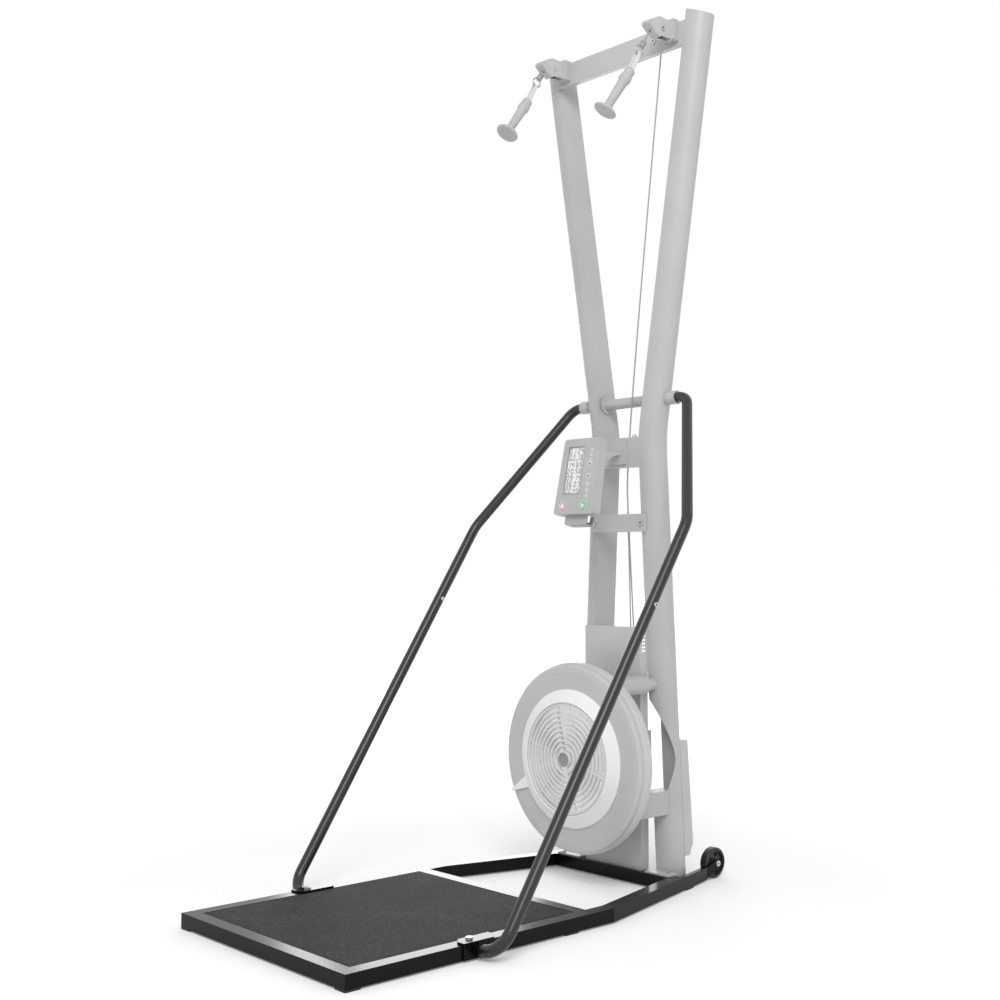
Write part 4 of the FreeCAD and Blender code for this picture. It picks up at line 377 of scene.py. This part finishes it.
# The transport wheels: polyurethane tyres cast round dished nylon hubs, at the back of the stand. The hub is a
# shade paler than the tyre, and the tread swells slightly across its width.
axle_y, axle_z = 0.59375, 0.0385
hub_radius, tread_radius, tread_repeat = 0.0296, 0.0368, 0.027646
wheel_stuff, tree, shader, place = begin_material("polyurethane tyre and nylon hub")
axle = add(tree, "ShaderNodeMapping", {"Vector": place, "Location": (0, -axle_y, -axle_z), "Scale": (0, 1, 1)})
reach = add(tree, "ShaderNodeVectorMath", {0: axle.outputs[0]}, operation="LENGTH")
is_tyre = add(tree, "ShaderNodeMath", {0: reach.outputs["Value"], 1: hub_radius}, operation="GREATER_THAN")
is_tread = add(tree, "ShaderNodeMath", {0: reach.outputs["Value"], 1: tread_radius}, operation="GREATER_THAN")
pits = add(tree, "ShaderNodeTexNoise", {"Vector": place, "Scale": 1 / 0.0009, "Detail": 3.0})
swell = add(tree, "ShaderNodeTexWave", {"Vector": place, "Scale": wave_repeat / tread_repeat})
swell_there = add(tree, "ShaderNodeMath", {0: swell.outputs["Fac"], 1: is_tread.outputs[0]},
                  operation="MULTIPLY")
relief = add(tree, "ShaderNodeMath", {0: pits.outputs[0], 1: swell_there.outputs[0]}, operation="ADD")
hub_tone = add(tree, "ShaderNodeMix", {0: pits.outputs[0], 6: linear("#232324"), 7: linear("#2d2d2e")},
               data_type="RGBA")
tyre_tone = add(tree, "ShaderNodeMix", {0: pits.outputs[0], 6: linear("#0f0f10"), 7: linear("#191919")},
                data_type="RGBA")
wheel_tone = add(tree, "ShaderNodeMix", {0: is_tyre.outputs[0], 6: hub_tone.outputs[2],
                                         7: tyre_tone.outputs[2]}, data_type="RGBA")
wheel_skin = add(tree, "ShaderNodeBump", {"Height": relief.outputs[0], "Strength": 0.4, "Distance": 0.0004})
feed(tree, shader, {"Base Color": wheel_tone.outputs[2], "Roughness": 0.45, "Normal": wheel_skin.outputs[0]})
paint(["left_wheel", "right_wheel"], wheel_stuff)


# The fan inside: a moulded pale nylon rotor behind the grille. It has a faint light of its own, because the
# photo shows the inside of the fan almost white.
rotor_nylon = moulded("pale nylon rotor", "#f0f0f0", "#f6f6f6", 0.0012, 0.5, 0.3)
tune(rotor_nylon, {"Emission Color": linear("#f4f4f4"), "Emission Strength": 0.22})
paint(["fan_rotor"], rotor_nylon)


# The pulleys and the cord spools: turned black nylon.
paint(["left_top_pulley", "right_top_pulley", "left_turn_pulley", "right_turn_pulley", "left_spool",
       "right_spool"], moulded("black nylon", "#29292a", "#313132", 0.0007, 0.4, 0.2, 0.0003))


# The swivels: a wire ring in a short barrel, satin nickel plated.
paint(["left_swivel", "right_swivel"], metal("satin nickel", "#b4b4b6", "#98989a", 0.0008, 0.26, 0.1))


# The console: two halves of grey ABS, with a phone tray below, a clear acrylic window and soft keys.
paint(["console_back", "console_front"], moulded("grey console ABS", "#b2b2b3", "#b8b8b9", 0.0008, 0.46, 0.3))
paint(["phone_holder"], moulded("phone tray ABS", "#aaaaab", "#b3b3b4", 0.0011, 0.55, 0.5))
paint(["start_button"], moulded("green key plastic", "#8fc0a4", "#98c7ac", 0.0007, 0.36, 0.15, 0.0004))
paint(["stop_button"], moulded("red key plastic", "#dcb2b6", "#d8abb0", 0.0007, 0.36, 0.15, 0.0004))
paint(["up_key", "down_key"], moulded("pale key rubber", "#cbcbcc", "#d2d2d3", 0.0007, 0.5, 0.2, 0.0004))
acrylic, tree, shader, place = begin_material("clear acrylic")
smear = add(tree, "ShaderNodeTexNoise", {"Vector": place, "Scale": 1 / 0.02, "Detail": 3.0})
gloss = add(tree, "ShaderNodeMapRange", {"Value": smear.outputs[0], "To Min": 0.03, "To Max": 0.1})
feed(tree, shader, {"Roughness": gloss.outputs[0], "Transmission Weight": 1.0, "IOR": 1.49})
paint(["console_lens"], acrylic)


# The straps: 10 mm polyester webbing, 2.2 mm thick, folded through each swivel's ring and sewn into the top of
# its grip. The weave shows as diagonal ribs, drawn coarser than real thread so that they show.
def webbing(name, colour, thread, rib, relief):
    """Woven band read from the piece's UV map in metres: two sets of ribs cross, each with one repeat."""
    made, tree, shader, place = begin_material(name)
    uv = add(tree, "ShaderNodeTexCoord").outputs["UV"]
    ribs = []
    for lean in (38, -38):
        turned_uv = add(tree, "ShaderNodeMapping", {"Vector": uv, "Rotation": (0, 0, math.radians(lean))})
        ribs.append(add(tree, "ShaderNodeTexWave", {"Vector": turned_uv.outputs[0], "Scale": wave_repeat / rib,
                                                    "Distortion": 0.2}).outputs["Fac"])
    weave = add(tree, "ShaderNodeMath", {0: ribs[0], 1: ribs[1]}, operation="MAXIMUM")
    fray = add(tree, "ShaderNodeTexNoise", {"Vector": place, "Scale": 1 / 0.0012, "Detail": 3.0})
    mixed = add(tree, "ShaderNodeMath", {0: weave.outputs[0], 1: fray.outputs[0]}, operation="MULTIPLY")
    tone = add(tree, "ShaderNodeMix", {0: mixed.outputs[0], 6: linear(thread), 7: linear(colour)},
               data_type="RGBA")
    skin = add(tree, "ShaderNodeBump", {"Height": weave.outputs[0], "Strength": 0.7, "Distance": relief})
    feed(tree, shader, {"Base Color": tone.outputs[2], "Normal": skin.outputs[0], "Roughness": 0.8,
                        "Sheen Weight": 0.3})
    return made


def carried(name, path, side, outline, body, material):
    """A closed section carried along a path. An outline point goes first to the side, then square to it."""
    path, outline = np.asarray(path, float), np.asarray(outline, float)
    along = np.gradient(path, axis=0)
    along /= np.linalg.norm(along, axis=1, keepdims=True)
    side = np.broadcast_to(np.asarray(side, float), path.shape)
    side = side - along * np.sum(side * along, axis=1, keepdims=True)
    side = side / np.linalg.norm(side, axis=1, keepdims=True)
    up = np.cross(side, along)
    points = path[:, None] + outline[None, :, :1] * side[:, None] + outline[None, :, 1:] * up[:, None]
    rows, columns = len(path), len(outline)
    ends = [tuple(range(columns)), tuple(range((rows - 1) * columns, rows * columns))]
    piece = put(name, points, [*grid_faces(rows, columns, closed=True), *ends], body, material)
    run = np.concatenate([[0], np.cumsum(np.linalg.norm(np.diff(path, axis=0), axis=1))])
    loop = np.concatenate([outline, outline[:1]])
    girth = np.concatenate([[0], np.cumsum(np.linalg.norm(np.diff(loop, axis=0), axis=1))])
    r, c = np.meshgrid(np.arange(rows - 1), np.arange(columns), indexing="ij")
    corners = np.stack([np.stack([run[r], girth[c]], -1), np.stack([run[r], girth[c + 1]], -1),
                        np.stack([run[r + 1], girth[c + 1]], -1), np.stack([run[r + 1], girth[c]], -1)], 2)
    flat = np.concatenate([corners.reshape(-1), np.zeros(4 * columns)])
    piece.data.uv_layers.new(name="length_and_girth").data.foreach_set("uv", flat)
    turn_outwards(piece)
    return piece


def turn_outwards(piece):
    """Turns the normals of a closed piece outwards."""
    surface = bmesh.new()
    surface.from_mesh(piece.data)
    bmesh.ops.recalc_face_normals(surface, faces=surface.faces)
    surface.to_mesh(piece.data)
    surface.free()


strap_cloth = webbing("white polyester webbing", "#f1f1ef", "#c9c9c6", rib=0.0069115, relief=0.0002)
strap_tilt = math.radians(29)
strap_length = 0.063
strap_sunk = 0.004
band_half = 0.0061
fold_below_ring = 0.01336
arc = np.linspace(np.pi, 0, 19)
rise = np.linspace(-strap_length - strap_sunk, -fold_below_ring, 10)[:-1]
band_x = np.concatenate([np.full(9, -band_half), band_half * np.cos(arc), np.full(9, band_half)])
band_z = np.concatenate([rise, -fold_below_ring + band_half * np.sin(arc), rise[::-1]])
corner = np.linspace(0, np.pi / 2, 4)
band_edge, half_width, half_thickness = 0.0005, 0.005, 0.0011
round_x = half_width - band_edge + band_edge * np.cos(corner)
round_y = half_thickness - band_edge + band_edge * np.sin(corner)
band_outline = np.concatenate([np.stack([round_x, round_y], 1), np.stack([-round_x, round_y], 1)[::-1],
                               np.stack([-round_x, -round_y], 1), np.stack([round_x, -round_y], 1)[::-1]])
rings = {"left": np.array([-0.188, 0.325501, 2.052497]), "right": np.array([0.188, 0.309843, 2.029284])}
for hand, ring in rings.items():
    hang = np.stack([band_x, band_z * math.sin(strap_tilt), band_z * math.cos(strap_tilt)], 1)
    across_band = (0, math.cos(strap_tilt), -math.sin(strap_tilt))
    strap = carried(hand + "_woven_strap", ring + hang, across_band, band_outline, hand + "_grip", strap_cloth)
    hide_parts(hand + "_strap")


# The grips: ribbed thermoplastic rubber over a plastic core, with a collar at the strap and a flat stop disc at
# the lower end that has four moulded rings in its face.
def turned(name, radius, height, place, axis, sides, body, material):
    """A turned piece: each profile point (radius, height) goes round the axis at that height along it."""
    axis = np.asarray(axis, float) / np.linalg.norm(axis)
    first = np.cross(axis, (0.31, 0.95, 0.05))
    first /= np.linalg.norm(first)
    second = np.cross(axis, first)
    angle = np.linspace(0, 2 * np.pi, sides, endpoint=False)
    spoke = np.cos(angle)[:, None] * first + np.sin(angle)[:, None] * second
    radius, height = np.asarray(radius)[:, None, None], np.asarray(height)[:, None, None]
    points = np.asarray(place) + height * axis + radius * spoke
    rows = len(radius)
    ends = [tuple(range(sides)), tuple(range((rows - 1) * sides, rows * sides))]
    piece = put(name, points, [*grid_faces(rows, sides, closed=True), *ends], body, material)
    turn_outwards(piece)
    return piece


grip_rubber = rubber("grey grip rubber", "#b3b3b4", "#bcbcbd", 0.0010, 0.58, 0.4)
profile = np.array([(1, 0), (9, 0), (10, -1), (13, -4), (13, -18), (15, -24), (15, -33), (12.5, -40),
                    (11.5, -72), (10.5, -104), (12.5, -115), (16.5, -119), (26.5, -120), (29.5, -123),
                    (28.5, -126), (24.5, -128), (1, -128)]) / 1000
turns = np.concatenate([[0], np.cumsum(np.linalg.norm(np.diff(profile, axis=0), axis=1))])
fine = np.linspace(0, turns[-1], 420)
grip_r, grip_z = np.interp(fine, turns, profile[:, 0]), np.interp(fine, turns, profile[:, 1])
rib_depth, rib_pitch = 0.0004, 0.004
held = (grip_z < -0.042) & (grip_z > -0.106)
ribbing = rib_depth * (0.5 - 0.5 * np.cos(2 * np.pi * grip_z / rib_pitch))
grip_r = grip_r - np.where(held, ribbing, 0)
rings_from, rings_to, ring_pitch, ring_depth = 0.006, 0.024, 0.0045, 0.0007
face = (fine > turns[-2]) & (grip_r > rings_from) & (grip_r < rings_to)
face_rings = ring_depth * (0.5 - 0.5 * np.cos(2 * np.pi * (grip_r - rings_from) / ring_pitch))
grip_z = grip_z + np.where(face, face_rings, 0)
leans = {"left": (-0.02, -0.58, -0.81), "right": (-0.26, -0.46, -0.85)}
for hand, lean in leans.items():
    seat = rings[hand] + strap_length * np.array([0, -math.sin(strap_tilt), -math.cos(strap_tilt)])
    handle = turned(hand + "_ribbed_grip", grip_r, -grip_z, seat, lean, 72, hand + "_grip", grip_rubber)
    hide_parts(hand + "_handle")


# The drive cords: 3.5 mm braided polyester, one from each spool up over its turning pulley and its nose pulley
# to its swivel. They are held all the way. The short run outside each bumper is a straight piece of its own,
# fixed in place.
def braid(name, colour, fleck, pitch):
    """Braid read from the piece's UV map in metres: strands cross at one pitch, with a few dark flecks."""
    made, tree, shader, place = begin_material(name)
    uv = add(tree, "ShaderNodeTexCoord").outputs["UV"]
    turn = add(tree, "ShaderNodeMapping", {"Vector": uv, "Rotation": (0, 0, math.radians(35))})
    strands = add(tree, "ShaderNodeTexChecker", {"Vector": turn.outputs[0], "Scale": 1 / pitch})
    spots = add(tree, "ShaderNodeTexNoise", {"Vector": place, "Scale": 1 / 0.004, "Detail": 2.0})
    few = add(tree, "ShaderNodeMapRange", {"Value": spots.outputs[0], "From Min": 0.56, "From Max": 0.66})
    amount = add(tree, "ShaderNodeMath", {0: few.outputs[0], 1: strands.outputs["Fac"]}, operation="MULTIPLY")
    tone = add(tree, "ShaderNodeMix", {0: amount.outputs[0], 6: linear(colour), 7: linear(fleck)},
               data_type="RGBA")
    skin = add(tree, "ShaderNodeBump", {"Height": strands.outputs["Fac"], "Strength": 0.6, "Distance": 0.0002})
    feed(tree, shader, {"Base Color": tone.outputs[2], "Roughness": 0.7, "Normal": skin.outputs[0]})
    return made


def spline_points(route):
    """Points read from a smooth spline that has the route's points as its control points."""
    curve = bpy.data.curves.new("route", "CURVE")
    curve.dimensions = "3D"
    spline = curve.splines.new("NURBS")
    spline.points.add(len(route) - 1)
    spline.points.foreach_set("co", np.hstack([np.asarray(route, float), np.ones((len(route), 1))]).ravel())
    spline.order_u = 3
    spline.use_endpoint_u = True
    spline.resolution_u = 10
    holder = bpy.data.objects.new("route", curve)
    scene.collection.objects.link(holder)
    read = bpy.data.meshes.new_from_object(holder.evaluated_get(bpy.context.evaluated_depsgraph_get()))
    points = np.empty(len(read.vertices) * 3)
    read.vertices.foreach_get("co", points)
    bpy.data.objects.remove(holder)
    bpy.data.meshes.remove(read)
    return points.reshape(-1, 3)


cord_braid = braid("grey braided cord", "#a4a4a5", "#7c7c7e", 0.0011)
ring_angle = np.linspace(0, 2 * np.pi, 12, endpoint=False)
cord_radius = 0.00175
cord_outline = cord_radius * np.stack([np.cos(ring_angle), np.sin(ring_angle)], 1)
left_route = [(-0.188, 0.35404, 2.09481), (-0.188, 0.371032, 2.12), (-0.188, 0.408, 2.12),
              (-0.188, 0.4235, 2.12), (-0.188, 0.44555, 2.12), (-0.166, 0.44555, 2.12), (0.1078, 0.44555, 2.12),
              (0.1458, 0.44555, 2.12), (0.14115, 0.44561, 2.0823), (0.0146, 0.44715, 1.05),
              (0.0206, 0.44715, 0.888), (0.02175, 0.46075, 0.311)]
right_route = [(0.188, 0.35404, 2.09481), (0.188, 0.371032, 2.12), (0.188, 0.409, 2.12), (0.188, 0.4315, 2.12),
               (0.188, 0.45395, 2.12), (0.1655, 0.45395, 2.12), (0.1382, 0.45395, 2.12),
               (0.13364, 0.45389, 2.0823), (0.0094, 0.45235, 1.05), (0.0154, 0.45235, 0.888),
               (0.02175, 0.48475, 0.311)]
swivel_ends = {"left": (-0.188, 0.341885, 2.076787), "right": (0.188, 0.326228, 2.053574)}
slant = (0.48, 0.62, -0.62)
for hand, route in (("left", left_route), ("right", right_route)):
    carried(hand + "_drive_cord", spline_points(route), slant, cord_outline, "frame", cord_braid)
    pulled = carried(hand + "_pulled_cord", [route[0], swivel_ends[hand]], slant, cord_outline, None,
                     cord_braid)
    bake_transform(pulled)
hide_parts("drive_cords")


# The display: a pale reflective liquid crystal panel under the window, with dark digits in rows, split by one
# line. The panel has a faint light of its own, because the photo shows it brighter than the case.
console_lean = math.radians(11)
console_y, console_z = 0.28425, 1.003


def on_panel(points):
    """Turns points from the console's own frame, x right, y into the case, z up its face, to their place."""
    x, y, z = np.moveaxis(np.asarray(points, float), -1, 0)
    c, s = math.cos(console_lean), math.sin(console_lean)
    return np.stack([x, y * c + z * s + console_y, -y * s + z * c + console_z], -1)


def flat_shapes(name, outlines, front, back, body, material):
    """Flat plates on the console: each outline of (x, z) points becomes a closed prism from front to back."""
    points, faces, start = [], [], 0
    for outline in outlines:
        outline = np.asarray(outline, float)
        n = len(outline)
        for y in (front, back):
            points.append(on_panel(np.stack([outline[:, 0], np.full(n, y), outline[:, 1]], 1)))
        k = np.arange(n)
        walls = np.stack([k, (k + 1) % n, (k + 1) % n + n, k + n], 1) + start
        faces += [*walls, k + start, k[::-1] + n + start]
        start += 2 * n
    piece = put(name, np.concatenate(points), faces, body, material, smooth=False)
    turn_outwards(piece)
    return piece


def printed(name, colour, second, grain, roughness):
    """Ink: two close tones in fine spots of one size in metres."""
    made, tree, shader, place = begin_material(name)
    spots = add(tree, "ShaderNodeTexNoise", {"Vector": place, "Scale": 1 / grain})
    tone = add(tree, "ShaderNodeMix", {0: spots.outputs[0], 6: linear(colour), 7: linear(second)},
               data_type="RGBA")
    feed(tree, shader, {"Base Color": tone.outputs[2], "Roughness": roughness})
    return made


lcd, tree, shader, place = begin_material("reflective display panel")
lcd_cells = add(tree, "ShaderNodeTexVoronoi", {"Vector": place, "Scale": 1 / 0.0008})
lcd_tone = add(tree, "ShaderNodeMix", {0: lcd_cells.outputs["Distance"], 6: linear("#fbfcfb"),
                                       7: linear("#eef1ee")}, data_type="RGBA")
feed(tree, shader, {"Base Color": lcd_tone.outputs[2], "Emission Color": lcd_tone.outputs[2],
                    "Emission Strength": 0.5, "Roughness": 0.5})
ink = printed("display digits", "#1d1f22", "#2c2f33", 0.001, 0.5)
flat_shapes("display_panel", [[(-0.0425, -0.0455), (0.0125, -0.0455), (0.0125, 0.0755), (-0.0425, 0.0755)]],
            0.0021, 0.0029, "console", lcd)
# The bars that each figure lights, and each bar's place across, its place up and whether it stands upright.
lit = {"0": "abcdef", "1": "bc", "2": "abged", "3": "abgcd", "4": "fgbc", "5": "afgcd", "6": "afgedc",
       "7": "abc", "8": "abcdefg", "9": "abcdfg"}
bars = {"a": (0, 1, 0), "g": (0, 0, 0), "d": (0, -1, 0), "f": (-1, 0.5, 1), "b": (1, 0.5, 1),
        "e": (-1, -0.5, 1), "c": (1, -0.5, 1)}


def digit(x, z, height, figure):
    """Outlines of one seven-bar digit. Each bar is a thin six-sided stroke, level or upright."""
    w, h, t = height * 0.27, height * 0.5, height * 0.10
    strokes = []
    for bar in lit[figure]:
        across, up, upright = bars[bar]
        reach = (h / 2 if upright else w) - t * 0.7
        stroke = np.array([(-reach, 0), (-reach + t, t), (reach - t, t), (reach, 0), (reach - t, -t),
                           (-reach + t, -t)])
        stroke = stroke[:, ::-1] if upright else stroke
        strokes.append(stroke + (x + across * w, z + up * h))
    return strokes


rows_shown = [(0.0650, 0.0125, "0124"), (0.0500, 0.0110, "0318"), (0.0300, 0.0125, "1465"),
              (0.0130, 0.0125, "2058"), (-0.0040, 0.0125, "0914"), (-0.0205, 0.0125, "3607"),
              (-0.0365, 0.0115, "0045")]
first_digit, digit_pitch, pair_gap = -0.0345, 0.0118, 0.0035
digits = []
for level, tall, figures in rows_shown:
    for k, figure in enumerate(figures):
        digits += digit(first_digit + k * digit_pitch + (pair_gap if k > 1 else 0), level, tall, figure)
digits.append([(-0.041, 0.0412), (0.011, 0.0412), (0.011, 0.0424), (-0.041, 0.0424)])
flat_shapes("display_digits", digits, 0.00198, 0.00208, "console", ink)


# The marks on the console: pad-printed rings down its right side, and plain arrow, play and stop shapes on the
# keys. Each stands a hair proud of the face that it is printed on.
print_ink = printed("pale printing ink", "#e9e9e9", "#f6f6f6", 0.0006, 0.55)


def printed_ring(x, z, outer, inner):
    """A ring as two half rings, each a closed outline of 17 points outside and 17 inside."""
    half = []
    for start in (0, np.pi):
        a = np.linspace(start, start + np.pi, 17)
        there = np.stack([x + outer * np.cos(a), z + outer * np.sin(a)], 1)
        back = np.stack([x + inner * np.cos(a[::-1]), z + inner * np.sin(a[::-1])], 1)
        half.append(np.concatenate([there, back]))
    return half


def mesh_points(name):
    """The points of a CAD node's mesh."""
    mesh = node[name].data
    raw = np.empty(len(mesh.vertices) * 3)
    mesh.vertices.foreach_get("co", raw)
    return raw.reshape(-1, 3)


def face_of(name):
    """How far a key's front stands before the console's face, read from its CAD mesh, in metres."""
    raw = mesh_points(name)
    c, s = math.cos(console_lean), math.sin(console_lean)
    return float(((raw[:, 1] - console_y) * c - (raw[:, 2] - console_z) * s).min())


marks = []
ink_proud, ink_sunk = 0.00006, 0.0001
key_x, up_z, down_z, button_z = 0.038, 0.030, -0.002, -0.076
for level, size in ((0.066, 0.0034), (0.053, 0.0034), (0.042, 0.0024), (-0.021, 0.0046), (-0.037, 0.0046),
                    (-0.052, 0.0036)):
    marks += printed_ring(key_x, level, size, size * 0.66)
marks += printed_ring(key_x, up_z, 0.0086, 0.0078) + printed_ring(key_x, down_z, 0.0086, 0.0078)
marks += printed_ring(0.031, button_z, 0.0138, 0.0129) + printed_ring(-0.038, button_z, 0.0138, 0.0129)
flat_shapes("console_marks", marks, -ink_proud, ink_sunk, "console", print_ink)
for name, body, shape in (
        ("start", "start_key", [(0.0272, -0.0820), (0.0372, -0.0760), (0.0272, -0.0700)]),
        ("stop", "stop_key", [(-0.0426, -0.0806), (-0.0334, -0.0806), (-0.0334, -0.0714), (-0.0426, -0.0714)])):
    front = face_of(name + "_button")
    flat_shapes(name + "_mark", [shape], front - ink_proud, front + ink_sunk, body, print_ink)
arrow_half, arrow_foot, arrow_tip = 0.0035, 0.002, 0.0035
for name, body, level, tip in (("up", "increase_key", up_z, 1), ("down", "decrease_key", down_z, -1)):
    front = face_of(name + "_key")
    foot = level - tip * arrow_foot
    shape = [(key_x - arrow_half, foot), (key_x, level + tip * arrow_tip), (key_x + arrow_half, foot)]
    flat_shapes(name + "_mark", [shape], front - ink_proud, front + ink_sunk, body, ink)


# The hub cap: a plain grey disc with a raised rim, pressed onto the middle of the fan's grille.
hub_search_radius = 0.0195
grille_points = mesh_points("fan_grille")
hub_z = (grille_points[:, 2].max() + grille_points[:, 2].min()) / 2
near = np.hypot(grille_points[:, 0], grille_points[:, 2] - hub_z) < hub_search_radius
hub_front = float(grille_points[near, 1].min())
cap_profile = np.array([(0.2, 0.9), (11.5, 0.6), (12.5, 0.5), (13.2, 1.5), (15.6, 1.7), (16.6, 1.2),
                        (16.9, 0.1), (16.9, -0.4)]) / 1000
turned("grille_hub_cap", cap_profile[:, 0], cap_profile[:, 1], (0, hub_front, hub_z), (0, -1, 0), 64, "frame",
       moulded("hub cap plastic", "#8e8e90", "#9a9a9c", 0.0006, 0.35, 0.15))


# The bolts' sockets: a dark six-sided inlay in each bolt's head, 5 mm across its flats, is painted shade that
# stands for the shaded hole. Each bolt has its place, the way it faces, and the sides of the machine that it is
# on.
# Painted shade: a dark grey disc in place of the shade inside each hex socket.
painted_socket_shade = rubber("painted socket shade", "#232324", "#2e2e2f", 0.0008, 0.6, 0.2)
up, forward, sideways = (0, 0, 1), (0, -1, 0), (1, 0, 0)
bolts = [((0.2835, -0.31625, 0.0425), up, (1, -1)), ((0.178, 0.40925, 0.0425), up, (1, -1)),
         ((0.082, 0.42225, 0.8885), forward, (1, -1)), ((0.045, 0.44375, 1.113), up, (1,)),
         ((0.2035, 0.38153, 2.10025), sideways, (1, -1)), ((0.12574, 0.43025, 2.10225), forward, (1,)),
         ((0.15394, 0.43025, 2.10225), forward, (1,)), ((0.185, axle_y, axle_z), sideways, (1, -1)),
         ((0.3805, 0.14225, 0.69566), sideways, (1, -1))]
socket_radius = [0.0002, 0.0028, 0.0029, 0.0029]
socket_height = [0.00006, 0.00006, 0.00002, -0.0008]
count = 0
for place, facing, sides in bolts:
    for side in sides:
        count += 1
        mirror = np.array([side, 1, 1])
        turned(f"bolt_socket_shade_{count}", socket_radius, socket_height, place * mirror, facing * mirror, 6,
               "frame", painted_socket_shade)
